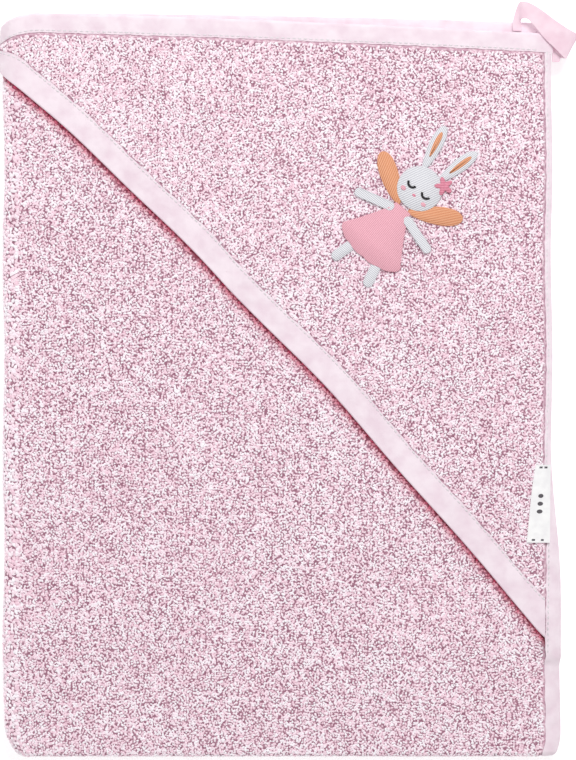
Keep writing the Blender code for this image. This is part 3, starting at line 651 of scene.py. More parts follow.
class PileMaker:
    """Scatters terry loops over the marked part of a cloth."""

    def __init__(self, finish: bpy.types.Material, spacing: float = 0.00102) -> None:
        """Builds the tree once for all cloths."""
        self.finish = finish
        self.spacing = spacing
        tree, source, result = node_group(
            "terry_pile",
            {
                "Spacing": ("NodeSocketFloat", 0.0016),
                "Loop Length": ("NodeSocketFloat", 0.0012),
                "Loop Width": ("NodeSocketFloat", 0.0005),
                "Loop Height": ("NodeSocketFloat", 0.0008),
                "Seed": ("NodeSocketInt", 7),
                "Parts": ("NodeSocketInt", 1),
                "Part": ("NodeSocketInt", 0),
                "Yarn": ("NodeSocketMaterial", None),
            },
        )
        self.tree = tree
        marked = add_node(tree, "GeometryNodeInputNamedAttribute", {"Name": "pile"}, {})
        scatter = add_node(
            tree,
            "GeometryNodeDistributePointsOnFaces",
            {"distribute_method": "POISSON", "Density Max": 3000000.0},
            {
                "Mesh": source.outputs["Geometry"],
                "Distance Min": source.outputs["Spacing"],
                "Density Factor": marked.outputs["Attribute"],
                "Seed": source.outputs["Seed"],
            },
        )
        order = add_node(tree, "GeometryNodeInputIndex", {}, {})
        share = add_node(
            tree,
            "FunctionNodeIntegerMath",
            {"operation": "MODULO"},
            {0: order.outputs["Index"], 1: source.outputs["Parts"]},
        )
        other = add_node(
            tree,
            "FunctionNodeCompare",
            {"data_type": "INT", "operation": "NOT_EQUAL"},
            {2: share.outputs[0], 3: source.outputs["Part"]},
        )
        kept = add_node(
            tree,
            "GeometryNodeDeleteGeometry",
            {"domain": "POINT"},
            {"Geometry": scatter.outputs["Points"], "Selection": other.outputs[0]},
        )
        grain = add_node(tree, "GeometryNodeMeshUVSphere", {"Segments": 4, "Rings": 2, "Radius": 1.0}, {})
        crisp = add_node(
            tree, "GeometryNodeSetShadeSmooth", {"Shade Smooth": False}, {"Geometry": grain.outputs["Mesh"]}
        )
        spin = add_node(
            tree,
            "FunctionNodeRandomValue",
            {"data_type": "FLOAT_VECTOR", 0: (-0.45, -0.45, 0.0), 1: (0.45, 0.45, 6.2832)},
            {"Seed": source.outputs["Seed"]},
        )
        turned = add_node(
            tree,
            "FunctionNodeRotateRotation",
            {"rotation_space": "LOCAL"},
            {"Rotation": scatter.outputs["Rotation"], "Rotate By": spin.outputs["Value"]},
        )
        grow = add_node(
            tree,
            "FunctionNodeRandomValue",
            {"data_type": "FLOAT", 2: 0.75, 3: 1.30},
            {"Seed": source.outputs["Seed"]},
        )
        size = add_node(
            tree,
            "ShaderNodeCombineXYZ",
            {},
            {
                "X": source.outputs["Loop Length"],
                "Y": source.outputs["Loop Width"],
                "Z": source.outputs["Loop Height"],
            },
        )
        grown = add_node(
            tree,
            "ShaderNodeVectorMath",
            {"operation": "SCALE"},
            {0: size.outputs[0], "Scale": grow.outputs[1]},
        )
        loops = add_node(
            tree,
            "GeometryNodeInstanceOnPoints",
            {},
            {
                "Points": kept.outputs["Geometry"],
                "Instance": crisp.outputs["Geometry"],
                "Rotation": turned.outputs["Rotation"],
                "Scale": grown.outputs[0],
            },
        )
        tone = add_node(tree, "FunctionNodeRandomValue", {"data_type": "FLOAT", "Seed": 3}, {})
        toned = add_node(
            tree,
            "GeometryNodeStoreNamedAttribute",
            {"domain": "INSTANCE", "Name": "shade"},
            {"Geometry": loops.outputs["Instances"], "Value": tone.outputs[1]},
        )
        real = add_node(tree, "GeometryNodeRealizeInstances", {}, {"Geometry": toned.outputs["Geometry"]})
        dressed = add_node(
            tree,
            "GeometryNodeSetMaterial",
            {},
            {"Geometry": real.outputs["Geometry"], "Material": source.outputs["Yarn"]},
        )
        tree.links.new(dressed.outputs["Geometry"], result.inputs["Geometry"])

    def grow(
        self, cloth: bpy.types.Object, seed: int, coarse: float = 1.0, parts: int = 1
    ) -> list[bpy.types.Object]:
        """Grows the loops of one cloth.

        Args:
            cloth: The cloth, with the corners that bear loops marked.
            seed: What sets this cloth's loops apart from the others'.
            coarse: How much coarser than usual the loops are.
            parts: Into how many pieces the loops are dealt out.

        Returns:
            The loops as pieces of their own.
        """
        made = []
        for part in range(parts):
            copy = cloth.copy()
            copy.data = cloth.data.copy()
            bpy.context.scene.collection.objects.link(copy)
            values = {
                "Spacing": self.spacing * coarse,
                "Loop Length": 0.00118 * coarse,
                "Loop Width": 0.00076 * coarse,
                "Loop Height": 0.00052 * coarse,
                "Seed": seed,
                "Parts": parts,
                "Part": part,
                "Yarn": self.finish,
            }
            run_group(copy, self.tree, values)
            made.append(bake(copy, f"{cloth.name}_pile_{part + 1}"))
        return made


class StitchMaker:
    """Lays a row of sewn stitches along a line."""

    def __init__(self, finish: bpy.types.Material) -> None:
        """Builds the tree once for all rows."""
        self.finish = finish
        tree, source, result = node_group(
            "stitch_row",
            {
                "Pitch": ("NodeSocketFloat", 0.0030),
                "Stitch Length": ("NodeSocketFloat", 0.0011),
                "Stitch Width": ("NodeSocketFloat", 0.00035),
                "Thread": ("NodeSocketMaterial", None),
            },
        )
        self.tree = tree
        curve = add_node(tree, "GeometryNodeMeshToCurve", {}, {"Mesh": source.outputs["Geometry"]})
        points = add_node(
            tree,
            "GeometryNodeCurveToPoints",
            {"mode": "LENGTH"},
            {"Curve": curve.outputs["Curve"], "Length": source.outputs["Pitch"]},
        )
        bead = add_node(tree, "GeometryNodeMeshUVSphere", {"Segments": 6, "Rings": 4, "Radius": 1.0}, {})
        smooth = add_node(tree, "GeometryNodeSetShadeSmooth", {}, {"Geometry": bead.outputs["Mesh"]})
        size = add_node(
            tree,
            "ShaderNodeCombineXYZ",
            {},
            {
                "X": source.outputs["Stitch Width"],
                "Y": source.outputs["Stitch Width"],
                "Z": source.outputs["Stitch Length"],
            },
        )
        stitches = add_node(
            tree,
            "GeometryNodeInstanceOnPoints",
            {},
            {
                "Points": points.outputs["Points"],
                "Instance": smooth.outputs["Geometry"],
                "Rotation": points.outputs["Rotation"],
                "Scale": size.outputs[0],
            },
        )
        real = add_node(tree, "GeometryNodeRealizeInstances", {}, {"Geometry": stitches.outputs["Instances"]})
        dressed = add_node(
            tree,
            "GeometryNodeSetMaterial",
            {},
            {"Geometry": real.outputs["Geometry"], "Material": source.outputs["Thread"]},
        )
        tree.links.new(dressed.outputs["Geometry"], result.inputs["Geometry"])

    def sew(self, name: str, line: Array, pitch: float = 0.0030, length: float = 0.0011) -> bpy.types.Object:
        """Sews one row.

        Args:
            name: The row's name.
            line: The points that it follows.
            pitch: From one stitch to the next.
            length: Half the length of a stitch.

        Returns:
            The row as a piece.
        """
        guide = mesh_object(name + "_guide", line, [])
        guide.data.clear_geometry()
        guide.data.from_pydata(line.tolist(), [(i, i + 1) for i in range(len(line) - 1)], [])
        values = {"Pitch": pitch, "Stitch Length": length, "Stitch Width": 0.00042, "Thread": self.finish}
        run_group(guide, self.tree, values)
        return bake(guide, name)


# ---------------------------------------------------------------- sub-assemblies


@dataclass
class Workshop:
    """What every sub-assembly needs: the pack, the finishes and the makers of repeated detail."""

    pack: FoldedPack
    finishes: dict[str, bpy.types.Material]
    pile: PileMaker
    stitches: StitchMaker

    def attach(self, obj: bpy.types.Object, leaf: Leaf) -> None:
        """Makes a piece follow its leaf; a piece of a fold is only fixed in place, not bent."""
        if leaf is Leaf.LEFT_FOLD:
            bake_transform(obj)
        elif leaf is Leaf.RIGHT_FOLD:
            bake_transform(obj)
        else:
            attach(obj, leaf.value)

    @staticmethod
    def declare(obj: bpy.types.Object, width: float, length: float, share: float = 1.0, **more: Any) -> None:
        """Takes a piece of cloth and its sizes, and does nothing with them.

        Args:
            obj: The piece. Not used.
            Its flat width, of which less than 10 mm can't be declared. Not used.
            length: Its flat length. Not used.
            share: How much of that rectangle its cut covers. Not used.
        """

    def finish(self, obj: bpy.types.Object, finish: str, leaf: Leaf | None, *nodes: str) -> None:
        """Dresses a piece, hides the solids that it stands for and reports it.

        Args:
            obj: The piece.
            finish: The name of its finish.
            leaf: What it follows, or None if that is said elsewhere.
            nodes: The solids that it stands for.
        """
        if finish:
            obj.data.materials.clear()
            obj.data.materials.append(self.finishes[finish])
        if leaf is not None:
            self.attach(obj, leaf)
        if nodes:
            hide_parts(*nodes)
        log.info("%s: %d faces", obj.name, len(obj.data.polygons))


class TowelCloth:
    """The towel itself: one square of terry, in the stretches that its folds leave."""

    def __init__(self, shop: Workshop, step: float = 0.003) -> None:
        """Keeps the workshop and how finely the cloth is divided."""
        self.shop = shop
        self.step = step

    def half(self, u: Array, v: Array) -> Array:
        """Half the cloth's thickness, which swells up beside the tapes."""
        d = self.shop.pack.draft
        right = self.shop.pack.side_width(v)
        far = d.side - d.edge_width
        inside = np.minimum.reduce([u - right, far - u, v - d.edge_width, far - v])
        low, full = d.seam_terry / 2, d.terry / 2
        return low + (full - low) * ease(inside / d.ramp + 0.05)

    def rows(self, u: Array) -> Array:
        """Distances along v for each u: close at the tapes and round the half fold."""
        pack, d = self.shop.pack, self.shop.pack.draft
        near = [0.0015, 0.006] + [d.edge_width + a for a in (-0.0004, 0.0004, 0.0012, 0.0024)]
        fixed = np.array(near + between(0.016, 0.390, self.step))
        straight = pack.straight(u)[:, None]
        turn = straight + np.linspace(0, pack.half_turn, 13)[None, :]
        count = len(u)
        return np.hstack([np.tile(fixed, (count, 1)), turn, np.tile(d.side - fixed[::-1], (count, 1))])

    def columns(self, leaf: Leaf) -> Array:
        """Distances along u for one stretch."""
        pack, d = self.shop.pack, self.shop.pack.draft
        start, end = pack.span(leaf)
        if leaf is Leaf.FRONT:
            first = between(0.0015, d.side_width + 0.0025, 0.0006)
            return np.array(first + between(0.0110, end, self.step))
        if leaf is Leaf.BACK:
            last = [0.0024, 0.0012, 0.0004, -0.0004, -0.004, -0.0085]
            inner = d.side - d.edge_width
            return np.array(between(start, inner - 0.005, self.step) + [inner - a for a in last])
        if leaf in (Leaf.LEFT_FOLD, Leaf.RIGHT_FOLD):
            return np.linspace(start, end, 25 if leaf is Leaf.LEFT_FOLD else 33)
        return np.array(between(start, end, self.step))

    def piled(self, leaf: Leaf, u: Array, v: Array) -> Array:
        """Which outer points show and so bear loops."""
        pack, d = self.shop.pack, self.shop.pack.draft
        straight = pack.straight(u)
        clear = (v > d.edge_width + 0.0012) & (v < d.side - d.edge_width - 0.0012)
        clear &= (u > pack.side_width(v) + 0.0012) & (u < d.side - d.edge_width - 0.0012)
        past_hood = v > pack.hood_edge(np.minimum(u, d.hood_top)) + 0.0003
        if leaf in (Leaf.FRONT, Leaf.LEFT_FOLD):
            return clear & past_hood & (v < straight + pack.half_turn)
        if leaf is Leaf.MIDDLE:
            shown = (u < pack.left_turn[1] + 0.085) & (v < straight + pack.half_turn) & past_hood
            return clear & (shown | (np.abs(v - straight - pack.half_turn / 2) < pack.half_turn / 2))
        return clear & (v > straight)

    def build(self) -> None:
        """Builds the cloth of each stretch and grows its loops."""
        pack, shop, d = self.shop.pack, self.shop, self.shop.pack.draft
        nodes = {Leaf.FRONT: "terry_front_leaf", Leaf.MIDDLE: "terry_middle_leaf", Leaf.BACK: "terry_back_leaf"}
        for number, leaf in enumerate(Leaf):
            columns = self.columns(leaf)
            v = self.rows(columns)
            u = np.broadcast_to(columns[:, None], v.shape)
            half = self.half(u, v)
            front, back = pack.place(u, v, half), pack.place(u, v, -half)
            cloth = loft(f"towel_{leaf.value}", np.concatenate([front, back[:, ::-1]], 1))
            piled = self.piled(leaf, u, v)
            mark(cloth, "pile", np.concatenate([piled, np.zeros_like(piled)], 1))
            # Painted shadow: weight 1 under and just past the hood tape's outer side, fading out some 6 mm further
            # on, on the front leaf and left fold.
            past = v - pack.hood_edge(np.minimum(u, d.hood_top))
            painted_tape_shadow = ease(1.05 - np.maximum(past, 0) / 0.0062) * (u < pack.left_turn[1])
            mark(cloth, "painted_tape_shadow", np.concatenate([painted_tape_shadow, painted_tape_shadow * 0], 1))
            coarse, parts = (1.0, 3) if leaf is Leaf.FRONT else (1.6, 1)
            loops = shop.pile.grow(cloth, number + 1, coarse, parts)
            shop.finish(cloth, "terry", leaf, *([nodes[leaf]] if leaf in nodes else []))
            for piece in loops:
                shop.finish(piece, "", leaf)
            shop.declare(cloth, float(columns[-1] - columns[0]), d.side, with_pieces=loops)


class Hood:
    """The hood's own triangle of terry, and the tape on its free edge."""

    def __init__(self, shop: Workshop) -> None:
        """Keeps the workshop."""
        self.shop = shop
        us = np.linspace(0.15, shop.pack.draft.hood_top, 4000)
        self.tip = float(us[np.argmax(shop.pack.hood_edge(us) < shop.pack.draft.hood_tip)])

    def columns(self, leaf: Leaf, start: float) -> Array:
        """Distances along u for one stretch of the hood."""
        pack, d = self.shop.pack, self.shop.pack.draft
        if leaf is Leaf.FRONT:
            near = between(start, d.side_width + 0.0022, 0.0007)
            return np.array(near + between(0.0105, pack.left_turn[0], 0.004))
        if leaf is Leaf.LEFT_FOLD:
            return np.linspace(*pack.left_turn, 25)
        return np.array(between(pack.left_turn[1], self.tip, 0.0025))

    def panel_rings(self, columns: Array) -> tuple[Array, Array]:
        """The panel's sections, and which of their points bear loops."""
        pack, d = self.shop.pack, self.shop.pack.draft
        end = pack.hood_edge(columns) - 0.0012
        inner = pack.hood_tape_inner(columns)
        seam = d.edge_width
        low_seam = d.seam_terry / 2 + d.gap
        stations = []
        for u, last, tape in zip(columns, end, inner):
            if tape < seam + 0.004:
                stations.append(np.r_[0.0015, 0.006, np.linspace(seam, last, 104)])
                continue
            first = [0.0015, 0.006, seam - 0.0004, seam + 0.0004, seam + 0.0012, seam + 0.0022]
            body = np.linspace(seam + 0.0030, tape - 0.0026, 90)
            final = [tape - 0.0018, tape - 0.0010, tape - 0.0003, tape + 0.0006, tape + 0.0012]
            stations.append(np.r_[first, body, final, np.linspace(tape + 0.002, last, 5)])
        v = np.array(stations)
        u = np.broadcast_to(columns[:, None], v.shape)
        tape = inner[:, None]
        open_seam = ease(np.minimum(v - seam, u - pack.side_width(v)) / d.ramp + 0.05)
        in_tape = ease((v - np.maximum(tape, seam) + 0.0010) / 0.0014)
        narrow = (tape < seam + 0.004) & (v > seam - 0.0001)
        in_tape = np.where(narrow, 1.0, in_tape * (v > seam))
        middle = (d.hood_low + d.hood_high) / 2
        high = low_seam + d.seam_hood + (d.hood_high - low_seam - d.seam_hood) * open_seam
        low = low_seam + (d.hood_low - low_seam) * open_seam
        by_side = u <= pack.side_width(v) + 0.0005
        tape_high = np.where(by_side, low_seam + d.seam_hood, middle + d.seam_terry / 2)
        high = high + (tape_high - high) * in_tape
        low = low + (middle - d.seam_terry / 2 - low) * in_tape
        piled = (v > seam + 0.0012) & (v < tape - 0.0008) & (u > pack.side_width(v) + 0.0012)
        rings = np.concatenate([pack.place(u, v, high), pack.place(u, v, low)[:, ::-1]], 1)
        return rings, np.concatenate([piled, np.zeros_like(piled)], 1)

    def tape_rings(self, columns: Array) -> Array:
        """The free edge's tape, folded round it."""
        pack, d = self.shop.pack, self.shop.pack.draft
        edge = pack.hood_edge(columns)[:, None]
        floor = d.edge_width + d.gap
        ruffle = 0.00035 * np.sin(columns * 370) + 0.00025 * np.sin(columns * 861 + 1.0)
        inner = np.maximum(pack.hood_tape_inner(columns) + ruffle, floor)[:, None]
        top, bottom, skin = d.hood_high, d.hood_low, d.tape
        middle, half = (top + bottom) / 2, (top - bottom) / 2
        angles = np.radians(np.linspace(80, -80, 9))[None, :]
        across = np.linspace(0, 1, 9)[None, :]
        puff = 0.00025 * np.sin(math.pi * across)
        wrinkle = 0.00018 * np.sin(columns[:, None] * 610 + across * 2.2) * np.sin(columns[:, None] * 143)
        wrinkle = wrinkle - 0.0010 * np.exp(-(((columns[:, None] - 0.1700 - 0.006 * across) / 0.0011) ** 2))
        nose = 0.0012

        def shell(inset: float) -> Array:
            flat = edge - nose - (edge - nose - inner) * (1 - across)
            rise = (puff + wrinkle) * np.sin(math.pi * across)
            v = np.hstack([flat, edge - nose + (nose - inset) * np.cos(angles), flat[:, ::-1]])
            curve = middle + (half - inset) * np.sin(angles) + 0 * edge
            m = np.hstack([top - inset + rise, curve, bottom + inset + 0 * flat])
            return pack.place(columns[:, None], v, m)

        outer, inside = shell(0.0), shell(skin)
        return np.concatenate([outer, inside[:, ::-1]], 1)

    def build(self) -> None:
        """Builds panel, loops and tape for the front leaf, the fold and the tip behind it."""
        shop, pack, d = self.shop, self.shop.pack, self.shop.pack.draft
        panel_nodes = {Leaf.FRONT: "hood_panel", Leaf.MIDDLE: "hood_panel_tip"}
        tape_nodes = {Leaf.FRONT: "hood_tape", Leaf.MIDDLE: "hood_tape_tip"}
        for number, leaf in enumerate((Leaf.FRONT, Leaf.LEFT_FOLD, Leaf.MIDDLE)):
            columns = self.columns(leaf, 0.0015)
            rings, piled = self.panel_rings(columns)
            panel = loft(f"hood_{leaf.value}", rings)
            mark(panel, "pile", piled)
            parts = []
            if leaf is not Leaf.MIDDLE:
                coarse, count = (1.0, 2) if leaf is Leaf.FRONT else (1.2, 1)
                parts = shop.pile.grow(panel, number + 11, coarse, count)
            shop.finish(panel, "terry", leaf, *([panel_nodes[leaf]] if leaf in panel_nodes else []))
            for loops in parts:
                shop.finish(loops, "", leaf)
            ends = pack.hood_edge(columns)
            line = pack.place(columns, d.edge_width, (d.hood_low + d.hood_high) / 2)
            steps = np.linalg.norm(np.diff(line, axis=0), axis=1)
            share = float(np.sum((ends[1:] + ends[:-1]) / 2 * steps) / steps.sum() / ends[0])
            shop.declare(panel, float(steps.sum()), float(ends[0]), share, with_pieces=parts)
            columns = self.columns(leaf, d.side_width + d.gap)
            if leaf is Leaf.FRONT:
                columns = np.array(between(d.side_width + d.gap, pack.left_turn[0], 0.0015))
            tape = loft(f"hood_tape_{leaf.value}", self.tape_rings(columns))
            shop.finish(tape, "tape", leaf, *([tape_nodes[leaf]] if leaf in tape_nodes else []))
            line = pack.place(columns, d.edge_width, (d.hood_low + d.hood_high) / 2)
            bare = pack.hood_edge(columns) - np.maximum(pack.hood_tape_inner(columns), d.edge_width)
            shop.declare(tape, 2 * float(bare.mean()) + 0.003, FoldedPack.length(line))


class EdgeTape:
    """The tape sewn round the towel's four edges."""

    def __init__(self, shop: Workshop, hood: Hood) -> None:
        """Keeps the workshop and the hood, which makes the tape thicker where it lies."""
        self.shop = shop
        self.hood = hood

    def section(self, along: Array, face: Array, width: Array, stretch: float) -> tuple[Array, Array]:
        """The tape's section at each place along it.

        Args:
            along: Places along the tape.
            face: The height of its face at each place.
            width: How wide it shows at each place.
            stretch: What sets one tape's creases apart from another's.

        Returns:
            Distances from the towel's edge and heights, outside first and then inside.
        """
        d = self.shop.pack.draft
        face, width, along = face[:, None], width[:, None], along[:, None]
        across = np.linspace(0, 1, 8)[None, :]
        angles = np.radians(np.linspace(80, -80, 9))[None, :]
        nose = 0.0011
        ruffle = 0.00014 * np.sin(along * 410 + stretch) + 0.0001 * np.sin(along * 933 + 2 * stretch)
        wrinkle = 0.00016 * np.sin(along * 560 + across * 3 + stretch) * np.sin(along * 97 + stretch)
        rows = []
        for inset in (0.0, d.tape):
            reach = nose + d.spine - inset
            flat = nose + (width + ruffle - nose) * (1 - across)
            rise = (0.00022 + wrinkle) * np.sin(math.pi * across)
            middle, half = (face - d.flat_tape) / 2, (face + d.flat_tape) / 2 - inset
            a = np.hstack([flat, nose - reach * np.cos(angles) + 0 * face, flat[:, ::-1]])
            m = np.hstack([face - inset + rise, middle + half * np.sin(angles), inset - d.flat_tape + 0 * flat])
            rows.append((a, m))
        a = np.hstack([rows[0][0], rows[1][0][:, ::-1]])
        m = np.hstack([rows[0][1], rows[1][1][:, ::-1]])
        return a, m

    def build(self) -> None:
        """Builds the tape along the hood and foot edges, stretch by stretch, and the two sides."""
        shop, pack, d = self.shop, self.shop.pack, self.shop.pack.draft
        for leaf in Leaf:
            start, end = pack.span(leaf)
            if leaf is Leaf.FRONT:
                start = -d.spine
            if leaf is Leaf.BACK:
                end = d.side + d.spine
            folded = leaf in (Leaf.LEFT_FOLD, Leaf.RIGHT_FOLD)
            columns = np.linspace(start, end, 33) if folded else np.array(between(start, end, 0.0015))
            tall = 1 - ease((columns - self.hood.tip - d.gap) / 0.002)
            face = d.flat_tape + (d.tall_tape - d.flat_tape) * tall
            ends = {"front_leaf": "front", "middle_leaf": "middle", "back_leaf": "back"}
            for side, height in (("hood", face), ("foot", np.full_like(face, d.flat_tape))):
                width = np.full_like(face, d.edge_width)
                a, m = self.section(columns, height, width, 0.3 if side == "hood" else 1.7)
                v = a if side == "hood" else d.side - a
                tape = loft(f"edge_tape_{side}_{leaf.value}", pack.place(columns[:, None], v, m))
                nodes = [] if folded else [f"edge_tape_{side}_side_{ends[leaf.value]}"]
                shop.finish(tape, "tape", leaf, *nodes)
                edge = 0.0 if side == "hood" else d.side
                line = pack.place(columns, edge, face.mean() / 2 - d.flat_tape / 2)
                shop.declare(tape, 2 * d.edge_width + 0.004, FoldedPack.length(line))
        self.build_sides()

    def build_sides(self) -> None:
        """Builds the tapes down the right and the left edge, round the half fold."""
        shop, pack, d = self.shop, self.shop.pack, self.shop.pack.draft
        for side, at, leaf in (("right", 0.0, Leaf.FRONT), ("left", d.side, Leaf.BACK)):
            straight = float(pack.straight(np.array([at]))[0])
            turn = list(np.linspace(straight, straight + pack.half_turn, 13))
            first = between(d.edge_width + d.gap, straight - 0.0005, 0.0015)
            last = between(straight + pack.half_turn + 0.0005, d.side - d.edge_width - d.gap, 0.002)
            along = np.array(first + turn + last)
            thick = 1 - ease((along - d.hood_leg - d.gap) / 0.006)
            if side == "right":
                face = d.flat_tape + (d.tall_tape - d.flat_tape) * thick
                width = pack.side_width(along)
            else:
                face, width = np.full_like(along, d.flat_tape), np.full_like(along, d.edge_width)
            a, m = self.section(along, face, width, 2.6)
            u = a if side == "right" else d.side - a
            tape = loft(f"edge_tape_{side}_side", pack.place(u, along[:, None], m))
            shop.finish(tape, "tape", leaf, f"edge_tape_{side}")
            wide = 2 * float(width.mean()) + 0.003
            shop.declare(tape, wide, float(along[-1] - along[0]))


class Stitching:
    """The rows of stitching that show."""

    def __init__(self, shop: Workshop) -> None:
        """Keeps the workshop."""
        self.shop = shop

    def build(self) -> None:
        """Sews the rows along the hood's tape, the hood edge and the right edge."""
        shop, pack, d = self.shop, self.shop.pack, self.shop.pack.draft
        end = pack.left_turn[0] + 0.006
        u = np.arange(d.side_width + 0.001, end, 0.002)
        lift = 0.00012
        rows = {
            "hood_tape_stitching": pack.place(u, pack.hood_tape_inner(u) + 0.0014, d.hood_high + lift),
            "top_edge_stitching": pack.place(u, d.edge_width - 0.0012, d.tall_tape + lift),
        }
        v = np.arange(d.edge_width + 0.0005, d.hood_leg - 0.002, 0.002)
        rows["right_edge_stitching"] = pack.place(pack.side_width(v) - 0.0009, v, d.tall_tape + lift)
        for name, line in rows.items():
            row = shop.stitches.sew(name + "_row", line)
            shop.finish(row, "", Leaf.FRONT, name)


class CareLabel:
    """The small folded label laid against the right edge's tape, blank but for an ornament."""

    seam_inset, seam_slant = 0.0013, 0.0033
    near_width, widening = 0.0065, 0.0037
    lift, swell = 0.0004, 0.0009

    def __init__(self, shop: Workshop) -> None:
        """Keeps the workshop."""
        self.shop = shop

    def sheet_points(self, s: Array, t: Array, rise: Array) -> Array:
        """Where on the hood a point of the label lies, from 0 to 1 each way."""
        pack, d = self.shop.pack, self.shop.pack.draft
        u = self.seam_inset + self.seam_slant * t + (self.near_width + self.widening * t) * s
        v = d.label_near + d.label_length * t
        m = d.hood_high + self.lift + self.swell * s * (1 - s) + rise
        return pack.place(u, v, m)

    def build(self) -> None:
        """Builds the label and its ornament."""
        shop, d = self.shop, self.shop.pack.draft
        t = np.linspace(0, 1, 43)[:, None]
        s = np.linspace(0, 1, 13)[None, :]
        top = self.sheet_points(s, t, np.full((43, 13), d.label_thickness))
        low = self.sheet_points(s, t, np.zeros((43, 13)))
        label = loft("woven_label_cloth", np.concatenate([top, low[:, ::-1]], 1))
        shop.finish(label, "label", None, "woven_label")
        marks = self.ornament()
        shop.finish(marks, "label_thread", None)
        for piece in (label, marks):
            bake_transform(piece)
        shop.declare(label, 0.0086, d.label_length, with_pieces=[marks])

    def ornament(self) -> bpy.types.Object:
        """Two short bars of tacking and three plain dots, in raised thread."""
        shapes = []
        for t in (0.035, 0.965):
            shapes.append([(0.25, t - 0.012), (0.75, t - 0.012), (0.75, t + 0.012), (0.25, t + 0.012)])
        for t in (0.40, 0.50, 0.60):
            angles = np.linspace(0, 2 * math.pi, 15)[:-1]
            shapes.append([(0.5 + 0.13 * math.cos(a), t + 0.026 * math.sin(a)) for a in angles])
        points, faces = [], []
        for shape in shapes:
            s = np.array([p[0] for p in shape])
            t = np.array([p[1] for p in shape])
            count, start = len(shape), len(points)
            for offset in (-0.0002, 0.00015):
                rise = offset + self.shop.pack.draft.label_thickness
                points.extend(self.sheet_points(s, t, np.full(count, rise)).tolist())
            faces.append([start + i for i in range(count)][::-1])
            faces.append([start + count + i for i in range(count)])
            for i in range(count):
                j = (i + 1) % count
                faces.append([start + i, start + j, start + count + j, start + count + i])
        marks = mesh_object("woven_label_marks", np.array(points), faces)
        face_outwards(marks)
        return marks


class HangingLoop:
    """The tape loop over the hood's corner."""

    def __init__(self, shop: Workshop, steps: int = 96) -> None:
        """Keeps the workshop and how finely the loop is divided."""
        self.shop = shop
        self.steps = steps

    def smooth(self, points: list[Array]) -> Array:
        """A Catmull-Rom curve through points."""
        ends = [2 * points[0] - points[1], *points, 2 * points[-1] - points[-2]]
        route = []
        for i in range(self.steps + 1):
            at = i * (len(points) - 1) / self.steps
            k = min(int(at), len(points) - 2)
            t = at - k
            a, b, c, d = ends[k : k + 4]
            route.append(
                0.5 * (2 * b + (c - a) * t + (2 * a - 5 * b + 4 * c - d) * t**2 + (3 * b - a - 3 * c + d) * t**3)
            )
        return np.array(route)

    def edges(self) -> tuple[Array, Array]:
        """The loop's inner and outer edge, from the hood edge over the corner and back under."""
        pack, d = self.shop.pack, self.shop.pack.draft
        top = pack.place(pack.u_of(d.loop_from_middle), -d.spine - d.gap, 0.0, relax=False)
        side = pack.place(-d.spine - d.gap, d.loop_down_side, d.hood_low, relax=False)
        corner = pack.place(0.0, 0.0, d.tall_tape, relax=False)
        clear = d.loop_thickness / 2 + d.gap / 2
        half = d.loop_width / 2
        over = corner + np.array([0.0, 0.0, 2 * d.gap + d.loop_thickness])
        crease = side + np.array([0.0100, 0.0030, 0.0024])
        across = np.array([0.0031, 0.0065, 0.0])
        back = np.array([0.0, half * 0.7, 0.0])
        low = side - np.array([0.0, 0.0018, 0.0])
        offsets = [
            (top, (0.0024, clear, 0.0), top, (-0.0024, clear, 0.0)),
            (top, (0.0022, 0.0030, 0.0008), top, (-0.0026, 0.0054, 0.0006)),
            (top, (0.0015, 0.0055, 0.0024), top, (0.0002, 0.0146, 0.0018)),
            (top, (0.0025, 0.0068, 0.0040), top, (0.0032, 0.0159, 0.0034)),
            (top, (0.0062, 0.0056, 0.0048), top, (0.0095, 0.0133, 0.0042)),
            (over, (-0.0044, -0.0016, 0.0014), over, (0.0015, 0.0077, 0.0008)),
            (over, (0.0012, -0.0068, 0.0006), over, (0.0080, 0.0035, 0.0002)),
            (crease - across, (0.0, 0.0, 0.0006), crease + across, (0.0, 0.0, 0.0004)),
            (crease - across, (0.0010, -0.0004, -0.0014), crease + across, (0.0014, -0.0010, -0.0016)),
            (crease - across, (-0.0016, 0.0, -0.0032), crease + across, (-0.0030, -0.0040, -0.0034)),
            (low - back, (0.0045, 0.0, -0.0006), low + back, (0.0045, 0.0032, -0.0008)),
            (low - back, (clear, 0.0, 0.0), low + back, (clear, 0.0032, 0.0)),
        ]
        inner = self.smooth([a + np.array(b) for a, b, _, _ in offsets])
        outer = self.smooth([a + np.array(b) for _, _, a, b in offsets])
        return inner, outer

    def build(self) -> None:
        """Builds the loop with a slight crown across it."""
        shop, pack, d = self.shop, self.shop.pack, self.shop.pack.draft
        inner, outer = self.edges()
        middle = (inner + outer) / 2
        along = np.gradient(middle, axis=0)
        across = outer - inner
        rise = np.cross(across, along)
        rise /= np.linalg.norm(rise, axis=1)[:, None]
        share = np.linspace(0, 1, 9)[None, :, None]
        base = inner[:, None] + across[:, None] * share
        crown = rise[:, None] * (0.00025 * np.sin(math.pi * share))
        half = rise[:, None] * (d.loop_thickness / 2) * (0.55 + 0.45 * np.sin(math.pi * share) ** 0.5)
        rings = np.concatenate([base + crown + half, (base + crown - half)[:, ::-1]], 1)
        loop = loft("hanging_loop_tape", pack.relax(rings))
        shop.finish(loop, "loop", None, "hanging_loop")
        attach(loop, "loop")
        shop.declare(loop, 0.0100, FoldedPack.length(middle))


class Thread(Enum):
    """The embroidery's threads, each with its colour and the painted shade in the grooves between its rows."""

    WHITE = ("#F4F4F7", "#B9B9C4")
    ROSE = ("#F7BFCB", "#DE8FA3")
    DEEP_ROSE = ("#EE9DB2", "#C9647F")
    PEACH = ("#F3B48C", "#CF7A52")
    BLACK = ("#1E1A20", "#0C0A0D")


@dataclass(frozen=True)
class Patch:
    """One embroidered shape: its name, layer, thread, outline and the way its rows run."""

    name: str
    layer: int
    thread: Thread
    outline: list[tuple[float, float]]
    rows: float = 0.0


